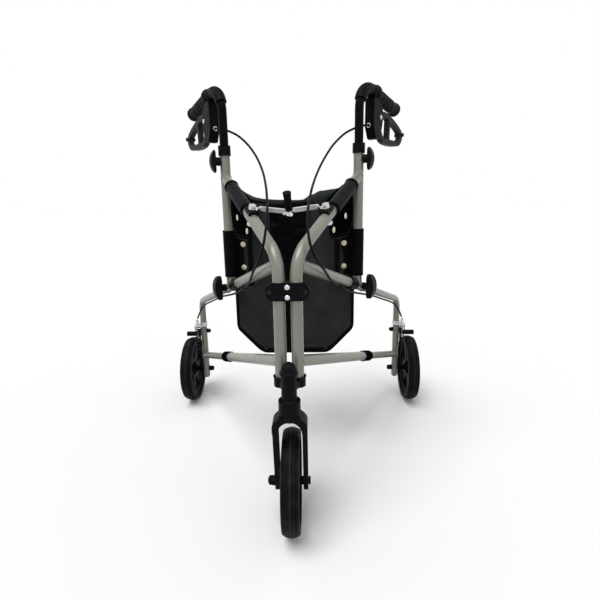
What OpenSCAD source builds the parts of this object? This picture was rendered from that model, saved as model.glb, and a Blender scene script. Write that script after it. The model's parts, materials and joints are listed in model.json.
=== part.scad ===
// Three wheel rollator: folding walking aid with a front caster, two side frames that turn about their
// front tubes, sliding handles and rear legs, loop brakes and a bag. Millimetres, +Z up, front towards -Y.

/* [Wheels] */
// Outer diameter of the three tyres
wheel_d = 200; // [180:1:215]
// Width of a tyre
tyre_w = 33; // [28:1:36]
// Height of a tyre over its seat on the rim
tyre_h = 18; // [15:0.5:25]
// Width of a wheel hub
hub_w = 30; // [26:1:32]
// Diameter of the wheel axles
axle_d = 10; // [8:0.5:12]
// Spokes of a rim
spokes = 6; // [5:1:8]

/* [Base] */
// Distance between the front and rear axles
wheelbase = 565; // [540:5:600]
// Angle of a side frame from straight back
frame_angle = 27; // [25:1:28]
// Distance from a rear leg to the middle of its wheel
wheel_offset = 42; // [40:1:48]
// Distance of the swivel axis in front of the caster axle
caster_trail = 24; // [18:1:30]
// Distance of the front tubes behind the swivel axis
column_set = 30; // [29:1:34]
// Distance between the two front tubes
column_gap = 31; // [30:1:35]

/* [Tubes] */
// Diameter of the frame tubes
tube_d = 22.2; // [21.8:0.1:24]
// Diameter of the sliding inner tubes
inner_d = 19; // [17:0.1:19]
// Wall of every tube
tube_wall = 1.5; // [1:0.1:1.5]

/* [Side frame] */
// Slope of the upper rail
top_slope = 26; // [24:1:28]
// Slope of the mid and lower rails
rail_slope = 17.7; // [17:0.1:18.4]
// Height of the upper rail where it would meet the front tube
top_z0 = 535; // [530:1:545]
// Height of the mid rail where it meets the front tube
mid_z0 = 523; // [518:1:526]
// Height of the lower rail where it meets the front tube
low_z0 = 345; // [342:1:352]
// Radius of the bend in the main tube
main_bend_r = 60; // [50:1:65]
// Distance of the upright behind the front tube, along the frame
upright_u = 290; // [285:1:300]
// Top of the upright
upright_z = 724; // [715:1:735]
// End of the mid rail, along the frame
mid_end = 320; // [318:1:330]
// End of the lower rail, along the frame
low_end = 372; // [360:1:385]

/* [Handle] */
// Turn of the handle out of the frame's plane
handle_turn = 7; // [0:1:12]
// Start of the bend in the handle tube
handle_bend_z = 815; // [805:1:825]
// Radius of that bend
handle_bend_r = 45; // [42:1:48]
// Fall of the grip towards the rear
grip_fall = 11; // [9:1:13]
// Length of the grip
grip_l = 112; // [100:1:120]
// Diameter of the grip
grip_d = 29; // [27:0.5:31]

/* [Rear leg] */
// Radius of the bend in the leg
leg_bend_r = 45; // [40:1:55]
// Rounded lower end of the leg
leg_foot_z = 69; // [60:1:75]
// Travel of the leg into the frame
leg_in = 60; // [40:1:70]
// Travel of the leg out of the frame
leg_out = 20; // [10:1:25]

/* [Rear brake] */
// Height of the pivot of the brake arm
brake_z = 226; // [224:1:232]
// Curls of the brake spring
spring_curls = 10; // [7:1:11]
// Wire of the brake spring
spring_wire = 2.2; // [1.6:0.1:2.4]

/* [Bag] */
// Width of the bag
bag_w = 280; // [240:1:282]
// Depth of the bag
bag_depth = 94; // [70:1:110]
// Underside of the bag
bag_z = 260; // [250:1:280]
// Middle of the bag's rim, under its lid
bag_top = 620; // [600:1:625]
// Rise of the rim from its middle to the sides
bag_sag = 35; // [20:1:40]
// Wall of the bag
bag_wall = 3; // [2:0.5:5]

/* [Clearances] */
// Radial play of a turning shaft
run_gap = 0.06; // [0.03:0.01:0.1]
// Radial play of a sliding tube
slide_gap = 0.1; // [0.08:0.01:0.15]
// Gap between pieces that move past each other
part_gap = 0.4; // [0.3:0.1:0.6]
// Radial play of a seat that stays still
seat_gap = 0.05; // [0.03:0.01:0.1]

/* [Hidden] */
$fn = 48;

// Colours
paint = [0.55, 0.56, 0.50];
black = [0.07, 0.07, 0.08];
rubber = [0.05, 0.05, 0.05];
steel = [0.75, 0.76, 0.77];
brass = [0.75, 0.52, 0.22];
cloth = [0.17, 0.18, 0.18];
vinyl = [0.05, 0.05, 0.06];
tan_snap = [0.72, 0.66, 0.56];

// Column: swivel axis, front tubes, heights
axle_z = wheel_d / 2;
rim_d = wheel_d - 2 * tyre_h;
front_y = -wheelbase / 2;
head_y = front_y - caster_trail;
column_y = head_y + column_set;
head_z = 284;
head_top = 331;
head_d = 28;
stem_d = 16;
cup_z = 297;
cup_top = 316;
cup_floor = 6;
tube_foot = cup_z + cup_floor + part_gap;
hinge_z = 475.5;
hinge_h = 32;
hinge_w = 77;
hinge_t = 14.5;
hinge_screw_x = 31.5;

// Fork
fork_in = 44;
fork_arm = 10;
fork_out = fork_in + 2 * fork_arm;
neck_d = 40;
neck_z = 250;
neck_top = head_z - 2;
arch_z = 246;
crown_l = 36;

// Side frame, in its own plane: u back from the front tube, n outward
leg_u = (wheelbase / 2 - column_y) / cos(frame_angle);
leg_x = column_gap / 2 + leg_u * sin(frame_angle);
main_turn = 90 - top_slope;
main_end_u = main_bend_r * (1 - cos(main_turn));
main_bend_z = top_z(main_end_u) - main_bend_r * sin(main_turn);
main_len = (upright_u - main_end_u) / cos(top_slope);
rail_bore = inner_d + 2 * slide_gap;
weld_gap = 0.02;
function top_z(u) = top_z0 + u * tan(top_slope);
function mid_z(u) = mid_z0 - u * tan(rail_slope);
function low_z(u) = low_z0 - u * tan(rail_slope);
// Axis of the main tube at a height up to the end of its bend
function main_u(z) = z < main_bend_z ? 0 : main_bend_r - sqrt(pow(main_bend_r, 2) - pow(z - main_bend_z, 2));

// Fold link: bolt through the upper rail, eye on the middle plane
link_u = 130;
link_seat_h = 16.4;
link_t = 2.5;
link_bolt_d = 8;
link_rest = 17;
link_pivot_u = link_u - link_seat_h * sin(top_slope);
link_pivot_x = column_gap / 2 + link_pivot_u * sin(frame_angle);
link_reach = cos(link_rest) * cos(frame_angle) + sin(link_rest) * cos(top_slope) * sin(frame_angle);
link_len = link_pivot_x / link_reach;
link_dip = asin(sin(link_rest) * sin(top_slope));
link_eye_d = 14;
link_step = 3.7;
strap_h = 12;
strap_t = 3;
knob_d = 14.6;
knob_h = 36;

// Handle, in its own plane: v back from the upright
handle_foot = 600;
collar_h = 21;
handle_turn_angle = 90 + grip_fall;
handle_v = handle_bend_r * (1 - cos(handle_turn_angle));
handle_z = handle_bend_z + handle_bend_r * sin(handle_turn_angle);
grip_from = 16;
grip_rim_d = grip_d + 7;
handle_len = grip_from + grip_l - 6;
lever_pivot = [82, 806];
lever_tip = [213, 774];
lever_t = 13;
lever_bar = 11;
lever_pin_d = 6;
cheek_t = 4.5;
housing_w = lever_t + 2 * (cheek_t + part_gap);
adjuster_v = 61;
adjuster_z = 786;
adjuster_d = 8;
handle_knob_z = 712;
stud_d = 8;

// Rear leg
leg_turn = 90 - rail_slope;
leg_bend_u = leg_u - leg_bend_r * (1 - cos(leg_turn));
leg_bend_z = mid_z(leg_bend_u) - leg_bend_r * sin(leg_turn);
leg_start = mid_end - leg_out - 50;
inner_start = 210;
brace_z = low_z(leg_u);
button_u = 258;
button_d = 7;
leg_knob_u = 300;

// Rear brake, from the foot of the leg: X outward, Y back
brake_bolt_d = 8;
arm_x = 12.4;
arm_t = 3;
arm_bar = 12;
arm_foot_z = 182;
shoe_d = 15;
shoe_y = 16;
shoe_z = 211;
spring_x = arm_x + arm_t / 2;
spring_y = -22;
spring_low = arm_foot_z + arm_t;
spring_high = 247;
spring_r_low = 7.2;
spring_r_high = 8.8;
bracket_t = 3;
band_t = 2.5;

// Bag
flap_t = 3;
sleeve_r = tube_d / 2 + 3;
upright_y = column_y + upright_u * cos(frame_angle);
upright_x = column_gap / 2 + upright_u * sin(frame_angle);
bag_y = upright_y + sleeve_r + part_gap;
bag_corner_z = 335;
bag_foot_w = 138;
bag_round = 12;
rim_r = (bag_w * bag_w / 4 + bag_sag * bag_sag) / (2 * bag_sag);
lid_t = 3;
lid_lap = 1;
sleeve_from = 150;
sleeve_to = 250;
side_flap_z = [456, 560];
side_flap_w = 37;
rail_flap_drop = 62;
snap_d = 12;
snap_t = 2;

// Route of the right brake cable, mirrored for the left one
cable_d = 4.8;
cable_steps = 2;
cable_route = [[175, 23, 786], [166, 10, 785], [152, 2, 782], [135, -1, 776], [115, -5, 765], [92, -17, 743],
    [74, -34, 717], [58, -78, 687], [46, -140, 656], [39, -195, 627], [36, -236, 602], [37, -262, 577],
    [41, -270, 554], [50, -258, 530], [66, -226, 502], [80, -182, 475], [94, -134, 455], [108, -98, 442],
    [134, -45, 420], [158, 2, 405], [190, 62, 387], [234, 151, 355], [270, 222, 329], [292, 250, 310],
    [305, 259, 288], [312, 260, 272]];

// Middle of a Catmull-Rom curve between b and c
function curve(a, b, c, d, t) = 0.5 * ((2 * b) + (c - a) * t + (2 * a - 5 * b + 4 * c - d) * t * t
    + (3 * b - a - 3 * c + d) * t * t * t);
function smooth(p, steps) = [for (i = [0 : len(p) - 2], k = [0 : steps - 1])
    curve(p[max(i - 1, 0)], p[i], p[i + 1], p[min(i + 2, len(p) - 1)], k / steps), p[len(p) - 1]];
function unit(v) = v / norm(v);
function tangent(p, i) = unit(p[min(i + 1, len(p) - 1)] - p[max(i - 1, 0)]);
function ring(c, t, up, r, sides) = let(x = unit(cross(up, t)), y = cross(t, x))
    [for (k = [0 : sides - 1]) c + r * (cos(360 * k / sides) * x + sin(360 * k / sides) * y)];

// One unbroken tube along points p; up is a direction that the route never takes
module sweep(p, r, sides, up) {
    last = len(p) - 1;
    points = [for (i = [0 : last]) each ring(p[i], tangent(p, i), up, r, sides)];
    skin = [for (i = [0 : last - 1], k = [0 : sides - 1], h = [0, 1])
        let(a = i * sides + k, b = i * sides + (k + 1) % sides)
        h == 0 ? [a, a + sides, b] : [b, a + sides, b + sides]];
    caps = [for (k = [1 : sides - 2]) each [[0, k, k + 1],
        [last * sides, last * sides + k + 1, last * sides + k]]];
    polyhedron(points, concat(skin, caps));
}

// Placement
module on_side(side) {
    mirror([side < 0 ? 1 : 0, 0, 0])
        translate([column_gap / 2, column_y, 0])
            rotate([0, 0, -frame_angle])
                children();
}
module aim(slope) {
    rotate([slope - 90, 0, 0]) children();
}
module on_mid(u) {
    translate([0, u, mid_z(u)]) aim(-rail_slope) children();
}
module on_low(u) {
    translate([0, u, low_z(u)]) aim(-rail_slope) children();
}
module on_link() {
    translate([0, link_u, top_z(link_u)]) rotate([top_slope, 0, 0]) children();
}
module at_handle(side) {
    on_side(side) translate([0, upright_u, 0]) rotate([0, 0, -handle_turn]) children();
}
module at_leg(side) {
    on_side(side) translate([0, leg_u, 0]) rotate([0, 0, frame_angle]) children();
}
// Profile drawn in the (back, up) plane, thick across it
module side_plate(thick) {
    rotate([90, 0, 90]) linear_extrude(thick, center = true) children();
}
module outward() {
    rotate([0, 90, 0]) children();
}

// Shapes that repeat
module pipe(d, bore, l) {
    difference() {
        cylinder(d = d, h = l);
        translate([0, 0, -1]) cylinder(d = bore, h = l + 2);
    }
}
// Tube with one bend, in the plane of the bend: the bend starts at [r, 0] towards +Y,
// with a run before and after
module bent_tube(d, bore, r, turn, run_in, run_out) {
    translate([r, -weld_gap, 0]) rotate([90, 0, 0]) pipe(d, bore, run_in - weld_gap);
    rotate_extrude(angle = turn, $fn = 96) translate([r, 0]) difference() {
        circle(d = d);
        circle(d = bore);
    }
    rotate([0, 0, turn]) translate([r, weld_gap, 0]) rotate([-90, 0, 0]) pipe(d, bore, run_out - weld_gap);
}
module bar(p, q, w) {
    run = q - p;
    translate(p) circle(d = w);
    translate(q) circle(d = w);
    translate((p + q) / 2) rotate(atan2(run[1], run[0])) square([norm(run), w], center = true);
}
module cap_nut(d, h) {
    cylinder(d = d, h = h * 0.4, $fn = 6);
    intersection() {
        cylinder(d = d * 0.86, h = h);
        translate([0, 0, h - d * 0.6]) sphere(d = d * 1.2);
    }
}
module dome_screw(d, h) {
    intersection() {
        cylinder(d = d, h = h);
        translate([0, 0, h - d * 0.75]) sphere(d = d * 1.5);
    }
}
// Clamp knob: stud into the tube, hub, wings with a curved outer face
module wing_knob(wing, wide, thick, hub_d, hub_l) {
    stud = tube_d / 2 - (inner_d / 2 + part_gap);
    translate([0, 0, -stud]) cylinder(d = stud_d, h = stud + hub_l);
    translate([0, 0, part_gap]) cylinder(d = hub_d, h = hub_l);
    translate([0, 0, hub_l]) intersection() {
        linear_extrude(thick) {
            bar([-wing / 2 + wide / 2, 0], [wing / 2 - wide / 2, 0], wide);
            circle(d = hub_d + 4);
        }
        translate([0, 0, thick - wing * 0.8]) rotate([90, 0, 0])
            cylinder(r = wing * 0.8, h = wing, center = true, $fn = 96);
    }
}
module tyre() {
    crown = tyre_w * 0.8;
    outward() rotate_extrude($fn = 96) difference() {
        intersection() {
            translate([rim_d / 2 + seat_gap, -tyre_w / 2]) square([(wheel_d - rim_d) / 2 - seat_gap, tyre_w]);
            translate([wheel_d / 2 - crown, 0]) circle(r = crown, $fn = 96);
        }
        for (s = [-1, 1]) translate([wheel_d / 2 - 2.6, s * tyre_w * 0.32]) circle(d = 1.6);
    }
}
module rim() {
    rim_w = tyre_w * 0.66;
    rim_t = 9;
    hub_d = 40;
    outward() difference() {
        union() {
            rotate_extrude($fn = 96) polygon([[rim_d / 2 - rim_t, -rim_w / 2 + 4], [rim_d / 2 - 3, -rim_w / 2],
                [rim_d / 2, -rim_w / 2], [rim_d / 2, rim_w / 2], [rim_d / 2 - 3, rim_w / 2],
                [rim_d / 2 - rim_t, rim_w / 2 - 4]]);
            cylinder(d = hub_d, h = hub_w * 0.7, center = true);
            cylinder(d = hub_d * 0.6, h = hub_w, center = true);
            for (k = [0 : spokes - 1]) rotate(360 * k / spokes + 90)
                linear_extrude(9, center = true) polygon([[hub_d * 0.4, -10], [rim_d / 2 - rim_t + 1, -7],
                    [rim_d / 2 - rim_t + 1, 7], [hub_d * 0.4, 10]]);
        }
        cylinder(d = axle_d + 2 * run_gap, h = hub_w + 2, center = true);
    }
}

// Column
module head_casting() {
    color(black) difference() {
        union() {
            translate([0, head_y, head_z]) cylinder(d = head_d, h = head_top - head_z);
            for (s = [-1, 1]) translate([s * column_gap / 2, column_y, cup_z]) {
                cylinder(d = tube_d + 5.4, h = cup_top - cup_z);
                translate([0, 0, cup_top - cup_z - 5]) cylinder(d1 = tube_d + 5.4, d2 = tube_d + 8.2, h = 5);
                translate([0, 0, -3]) cylinder(d1 = 8, d2 = 12, h = 3);
            }
            translate([0, 0, cup_z + 2]) linear_extrude(13) polygon([[-11, head_y], [11, head_y],
                [column_gap / 2 + 6, column_y - 8], [-column_gap / 2 - 6, column_y - 8]]);
        }
        translate([0, head_y, head_z - 1]) cylinder(d = stem_d + 2 * run_gap, h = head_top - head_z + 2);
        for (s = [-1, 1]) translate([s * column_gap / 2, column_y, cup_z + cup_floor])
            cylinder(d = tube_d + 2 * run_gap, h = cup_top);
    }
}
module head_cap() {
    rim_h = 4;
    dome_h = 19;
    cap_d = head_d + 5.5;
    sphere_r = (cap_d * cap_d / 4 + dome_h * dome_h) / (2 * dome_h);
    color(black) translate([0, head_y, head_top]) {
        cylinder(d = cap_d, h = rim_h);
        intersection() {
            translate([0, 0, rim_h]) cylinder(d = cap_d, h = dome_h);
            translate([0, 0, rim_h + dome_h - sphere_r]) sphere(r = sphere_r);
        }
    }
}
module hinge_shell(face) {
    reach = (hinge_w - hinge_h) / 2;
    color(black) translate([0, column_y, hinge_z]) difference() {
        rotate([90, 0, face > 0 ? 0 : 180]) translate([0, 0, part_gap / 2]) {
            linear_extrude(hinge_t - 2) bar([-reach, 0], [reach, 0], hinge_h);
            linear_extrude(hinge_t) bar([-reach, 0], [reach, 0], hinge_h - 7);
        }
        for (s = [-1, 1]) translate([s * column_gap / 2, 0, 0])
            cylinder(d = tube_d + 2 * run_gap, h = hinge_h + 2, center = true);
        for (s = [-1, 1]) translate([s * hinge_screw_x, 0, 0]) rotate([90, 0, 0]) {
            cylinder(d = 5, h = 3 * hinge_t, center = true);
            for (e = [0, 180]) rotate([0, e, 0]) translate([0, 0, hinge_t - 3]) cylinder(d = 8.4, h = 4);
        }
        for (s = [-1, 1]) translate([0, 0, s * 9]) rotate([90, 0, 0])
            cylinder(d = 5, h = 3 * hinge_t, center = true);
    }
}
module hinge_front() {
    hinge_shell(1);
}
module hinge_rear() {
    hinge_shell(-1);
}
module hinge_screws() {
    color(steel) translate([0, column_y, hinge_z]) {
        for (s = [-1, 1]) translate([0, 0, s * 9]) rotate([90, 0, 0]) {
            cylinder(d = 5 - 2 * seat_gap, h = 2 * hinge_t + 3, center = true);
            for (e = [0, 180]) rotate([0, e, 0]) translate([0, 0, hinge_t + part_gap / 2 + seat_gap])
                dome_screw(9, 3);
        }
        for (s = [-1, 1]) translate([s * hinge_screw_x, 0, 0]) rotate([90, 0, 0]) {
            cylinder(d = 5 - 2 * seat_gap, h = 2 * hinge_t - 4, center = true);
            for (e = [0, 180]) rotate([0, e, 0]) translate([0, 0, hinge_t - 3 + seat_gap])
                cylinder(d = 8, h = 2);
        }
    }
}

// Caster
module fork() {
    arm_d = 34;
    half = fork_out / 2;
    groove = 1;
    neck_r = neck_d / 2;
    shoulder = [[half, arch_z - 22], [half, neck_z - 13], [half - 2, neck_z - 7], [half - 7, neck_z - 1],
        [neck_r - 1, neck_z + 4]];
    color(black) difference() {
        union() {
            translate([0, head_y, 0]) rotate_extrude() polygon([[0, neck_z - 4], [neck_r, neck_z - 4],
                each [for (z = [neck_z + 6, neck_z + 15]) each [[neck_r, z], [neck_r - groove, z + groove],
                    [neck_r, z + 2 * groove]]],
                [neck_r, neck_top], [stem_d / 2, neck_top], [stem_d / 2, head_top - 4], [0, head_top - 4]]);
            translate([0, head_y, 0]) rotate([90, 0, 0]) linear_extrude(crown_l, center = true) difference() {
                polygon(concat([for (p = shoulder) [-p[0], p[1]]],
                    [for (k = [len(shoulder) - 1 : -1 : 0]) shoulder[k]]));
                translate([0, arch_z - fork_in / 2]) circle(d = fork_in);
            }
            for (s = [-1, 1]) translate([s * (fork_in + fork_arm) / 2, 0, 0]) side_plate(fork_arm - 1) {
                polygon([[head_y - arm_d / 2, arch_z - 14], [head_y + arm_d / 2, arch_z - 14],
                    [front_y + arm_d / 2 - 0.5, axle_z + 3], [front_y - arm_d / 2 + 0.5, axle_z - 3]]);
                translate([front_y, axle_z]) circle(d = arm_d);
            }
        }
        translate([0, front_y, axle_z]) outward()
            cylinder(d = axle_d + 2 * seat_gap, h = fork_out + 2, center = true);
    }
}
module caster_hardware() {
    spacer = fork_in / 2 - hub_w / 2 - part_gap;
    color(steel) {
        translate([0, head_y, neck_top]) pipe(24, stem_d + 2 * seat_gap, head_z - neck_top - part_gap);
        translate([0, front_y, axle_z]) outward() {
            cylinder(d = axle_d, h = fork_out + 2, center = true);
            for (s = [-1, 1]) translate([0, 0, s * (hub_w / 2 + part_gap + spacer / 2)])
                cylinder(d = axle_d + 6, h = spacer - 2 * seat_gap, center = true);
            translate([0, 0, fork_out / 2 + seat_gap]) cylinder(d = 17, h = 4, $fn = 6);
            translate([0, 0, -fork_out / 2 - seat_gap]) rotate([180, 0, 0]) cap_nut(21, 15);
        }
    }
}
module front_tyre() {
    color(rubber) translate([0, front_y, axle_z]) tyre();
}
module front_rim() {
    color(black) translate([0, front_y, axle_z]) rim();
}

// Side frame
module main_bend() {
    translate([0, main_bend_r, main_bend_z]) rotate([90, 0, -90]) children();
}
module main_tube(side) {
    color(paint) on_side(side) difference() {
        main_bend() bent_tube(tube_d, tube_d - 2 * tube_wall, main_bend_r, main_turn, main_bend_z - tube_foot,
            main_len);
        translate([0, upright_u, top_z(upright_u) - 60]) cylinder(d = tube_d + 2 * seat_gap, h = 120);
        on_link() cylinder(d = link_bolt_d + 2 * seat_gap, h = 2 * tube_d, center = true);
    }
}
// Room that the front of the main tube takes out of a rail that is welded to it
module main_cut() {
    lap = 0.5;
    d = tube_d + 2 * seat_gap;
    translate([0, 0, tube_foot]) cylinder(d = d, h = main_bend_z - tube_foot + lap);
    main_bend() rotate_extrude(angle = main_turn, $fn = 96) translate([main_bend_r, 0]) circle(d = d);
}
module upright(side) {
    foot = mid_z(upright_u);
    color(paint) on_side(side) difference() {
        translate([0, upright_u, foot]) pipe(tube_d, rail_bore, upright_z - foot);
        on_mid(upright_u - 40) cylinder(d = tube_d + 2 * seat_gap, h = 90);
        translate([0, upright_u, handle_knob_z]) outward() cylinder(d = stud_d + 2 * run_gap, h = tube_d);
    }
}
module rail(start_z, end_u, hole_u, hole_d) {
    start_u = main_u(start_z);
    difference() {
        translate([0, start_u, start_z - start_u * tan(rail_slope)]) aim(-rail_slope)
            pipe(tube_d, rail_bore, (end_u - start_u) / cos(rail_slope));
        main_cut();
        translate([0, hole_u, start_z - hole_u * tan(rail_slope)]) outward() cylinder(d = hole_d, h = tube_d);
    }
}
module mid_rail(side) {
    color(paint) on_side(side) rail(mid_z0, mid_end, leg_knob_u, stud_d + 2 * run_gap);
}
module lower_rail(side) {
    color(paint) on_side(side) rail(low_z0, low_end, button_u, button_d + 2 * run_gap);
}
module bushes(side) {
    ring_d = tube_d + 5;
    seat = tube_d + 2 * seat_gap;
    bush_bore = inner_d + 2 * slide_gap + 0.2;
    sleeve_u = 236;
    sleeve_l = 36;
    ferrule_l = 38;
    color(black) on_side(side) {
        translate([0, upright_u, upright_z + seat_gap]) pipe(ring_d, bush_bore, collar_h);
        on_mid(sleeve_u) pipe(ring_d, seat, sleeve_l);
        on_mid(mid_end) translate([0, 0, seat_gap]) pipe(tube_d + 1, bush_bore, 5);
        on_low(low_end) translate([0, 0, -ferrule_l]) pipe(ring_d, seat, ferrule_l);
        on_low(low_end) translate([0, 0, seat_gap]) pipe(ring_d, bush_bore, 6);
        on_link() difference() {
            translate([-10, -13, tube_d / 2 - 3]) cube([20, 26, link_seat_h - tube_d / 2 + 3 - part_gap]);
            rotate([90, 0, 0]) cylinder(d = seat, h = 60, center = true);
            cylinder(d = link_bolt_d + 2 * seat_gap, h = 60, center = true);
        }
    }
}
module link_bolt(side) {
    head_h = link_seat_h + link_t + part_gap;
    nut_h = 6.5;
    low = tube_d / 2 + seat_gap;
    color(steel) on_side(side) on_link() {
        translate([0, 0, -low - nut_h - 2]) cylinder(d = link_bolt_d, h = head_h + low + nut_h + 2);
        translate([0, 0, head_h]) cylinder(d = 15, h = 5.5, $fn = 6);
        translate([0, 0, -low - nut_h]) cylinder(d = 14, h = nut_h, $fn = 6);
    }
}

// Frame of a fold link: X along it from the bolt to the eye, Z along the bolt
module at_link(side) {
    on_side(side) on_link() translate([0, 0, link_seat_h]) rotate([0, 0, 180 + link_rest]) children();
}
// Frame of its eye: the right eye is level at rest and lies above the left one
module at_eye(side) {
    at_link(side) translate([link_len, 0, side > 0 ? link_step : -link_step])
        rotate([0, side > 0 ? -link_dip : 0, 0]) children();
}
module link(side) {
    strap_from = 18.5;
    tongue = side > 0 ? 17 : 25;
    strap_low = side > 0 ? 0.3 : link_t - link_step - 1;
    color(steel) {
        at_link(side) {
            difference() {
                linear_extrude(link_t) bar([0, 0], [strap_from + 5, 0], link_eye_d);
                translate([0, 0, -1]) cylinder(d = link_bolt_d + 2 * run_gap, h = link_t + 2);
            }
            translate([strap_from, -strap_t / 2, strap_low])
                cube([link_len - tongue - strap_from, strap_t, strap_h]);
        }
        at_eye(side) linear_extrude(link_t) bar([-tongue, 0], [0, 0], link_eye_d);
    }
}
module pull_knob() {
    flare = 2;
    color(black) at_eye(1) translate([0, 0, link_t + seat_gap]) {
        cylinder(d = knob_d, h = knob_h);
        translate([0, 0, knob_h - 9]) cylinder(d1 = knob_d, d2 = knob_d + flare, h = 9);
        translate([0, 0, knob_h]) intersection() {
            cylinder(d = knob_d + flare, h = 4);
            translate([0, 0, 4 - knob_d]) sphere(r = knob_d);
        }
    }
}

// Handle
module on_grip() {
    translate([0, handle_v, handle_z]) aim(-grip_fall) children();
}
module handle_tube(side) {
    color(black) at_handle(side) translate([0, handle_bend_r, handle_bend_z]) rotate([90, 0, -90])
        bent_tube(inner_d, inner_d - 2 * tube_wall, handle_bend_r, handle_turn_angle,
            handle_bend_z - handle_foot, handle_len);
}
module grip(side) {
    ribs = 5;
    pitch = 16;
    flange = 6;
    color(rubber) at_handle(side) on_grip() translate([0, 0, grip_from]) difference() {
        union() {
            cylinder(d = grip_d - 3, h = grip_l);
            cylinder(d = grip_rim_d, h = 4);
            translate([0, 0, grip_l - flange]) cylinder(d = grip_d + 3, h = flange);
            for (k = [0 : ribs - 1]) translate([0, 0, 10 + k * pitch]) cylinder(d = grip_d, h = pitch * 0.6);
        }
        translate([0, 0, -1]) cylinder(d = inner_d + 2 * seat_gap, h = handle_len - grip_from + 1 + part_gap);
    }
}
// Outline of the loop lever: a ring round the loop's middle line, with a strut and a thicker lower bar
module lever_outline() {
    bends = [lever_pivot, [112, 816.5], [160, 806], [204, 788], lever_tip, [192, 757], [122, 757], [95, 772]];
    loop = [for (k = [0 : 4 * len(bends) - 1]) smooth(concat(bends, [lever_pivot]), 4)[k]];
    strut = [[142, 812], [138, 752]];
    round_in = 4;
    difference() {
        offset(r = lever_bar / 2, $fn = 24) polygon(loop);
        offset(r = round_in, $fn = 24) offset(delta = -round_in) difference() {
            offset(delta = -lever_bar / 2) polygon(loop);
            polygon([strut[0] - [4, 0], strut[0] + [4, 0], strut[1] + [4, 0], strut[1] - [4, 0]]);
            translate([120, 750]) square([76, 13]);
        }
    }
    translate(lever_pivot) circle(d = 18);
}
module brake_lever(side) {
    color(black) at_handle(side) difference() {
        union() {
            side_plate(lever_t) lever_outline();
            translate([0, lever_tip[0] + 1, lever_tip[1] + 6]) outward()
                cylinder(d = 9, h = lever_t + 10, center = true);
        }
        translate([0, lever_pivot[0], lever_pivot[1]]) outward()
            cylinder(d = lever_pin_d + 2 * run_gap, h = 60, center = true);
    }
}
module brake_housing(side) {
    cover_from = 25;
    cover_t = 3;
    housing_round = 8;
    tube_seat = inner_d + 2 * seat_gap;
    color(black) at_handle(side) {
        translate([0, handle_bend_r, handle_bend_z]) rotate([90, 0, -90]) rotate([0, 0, cover_from])
            rotate_extrude(angle = handle_turn_angle - cover_from, $fn = 96) translate([handle_bend_r, 0])
                difference() {
                    circle(d = tube_seat + 2 * cover_t);
                    circle(d = tube_seat);
                }
        difference() {
            union() {
                on_grip() cylinder(d = inner_d + 9, h = grip_from - seat_gap);
                side_plate(housing_w) offset(r = housing_round, $fn = 24)
                    polygon([[57, 838], [72, 838], [86, 816], [86, 802], [76, 766], [66, 766], [56, 786]]);
            }
            on_grip() translate([0, 0, -20]) cylinder(d = tube_seat, h = grip_from + 40);
            on_grip() translate([0, 0, grip_from - 2 * seat_gap])
                cylinder(d = grip_rim_d + 2 * part_gap, h = grip_l);
            side_plate(lever_t + 2 * part_gap)
                polygon([[70.5, 813], [70.5, 798], [79, 752], [140, 752], [140, 846], [76, 820]]);
            translate([0, lever_pivot[0], lever_pivot[1]]) outward()
                cylinder(d = lever_pin_d + 2 * seat_gap, h = 60, center = true);
            translate([0, adjuster_v, adjuster_z]) rotate([90, 0, 0])
                cylinder(d = adjuster_d + 2 * seat_gap, h = 30);
        }
    }
}
module lever_hardware(side) {
    color(steel) at_handle(side) {
        translate([0, lever_pivot[0], lever_pivot[1]]) outward() {
            cylinder(d = lever_pin_d, h = housing_w + 1, center = true);
            for (e = [0, 180]) rotate([0, e, 0]) translate([0, 0, housing_w / 2 + seat_gap]) dome_screw(10, 3);
        }
        translate([0, adjuster_v, adjuster_z]) rotate([90, 0, 0]) difference() {
            union() {
                cylinder(d = adjuster_d, h = 18);
                translate([0, 0, 13]) cylinder(d = adjuster_d + 3, h = 4, $fn = 6);
            }
            translate([0, 0, 10]) cylinder(d = cable_d + 4 * part_gap, h = 20);
        }
    }
}
module handle_knob(side) {
    color(black) on_side(side) translate([tube_d / 2, upright_u, handle_knob_z]) outward()
        wing_knob(48, 18, 11, 14, 11);
}

// Rear leg
module rear_leg(side) {
    bore = inner_d - 2 * tube_wall;
    foot = leg_foot_z + inner_d / 2;
    inner_len = (leg_u - inner_start) / cos(rail_slope);
    slot = [button_d + 2 * part_gap, leg_in + leg_out + button_d + 2 * part_gap];
    color(paint) on_side(side) difference() {
        union() {
            translate([0, leg_u - leg_bend_r, leg_bend_z]) rotate([90, 0, 90])
                bent_tube(inner_d, bore, leg_bend_r, leg_turn, leg_bend_z - foot,
                    (leg_bend_u - leg_start) / cos(rail_slope));
            difference() {
                on_low(inner_start) pipe(inner_d, bore, inner_len);
                translate([0, leg_u, foot]) cylinder(d = inner_d + 2 * seat_gap, h = leg_bend_z - foot);
            }
            translate([0, leg_u, foot - weld_gap]) intersection() {
                sphere(d = inner_d);
                translate([0, 0, -inner_d / 2]) cube(inner_d, center = true);
            }
        }
        on_low(button_u) translate([0, -slot[0] / 2, -leg_out - slot[0] / 2]) cube([inner_d, slot[0], slot[1]]);
        translate([0, leg_u, axle_z]) rotate([0, 0, frame_angle]) outward()
            cylinder(d = axle_d + 2 * seat_gap, h = 60, center = true);
        translate([0, leg_u, brake_z]) rotate([0, 0, frame_angle]) outward()
            cylinder(d = brake_bolt_d + 2 * seat_gap, h = 60, center = true);
    }
}
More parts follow.
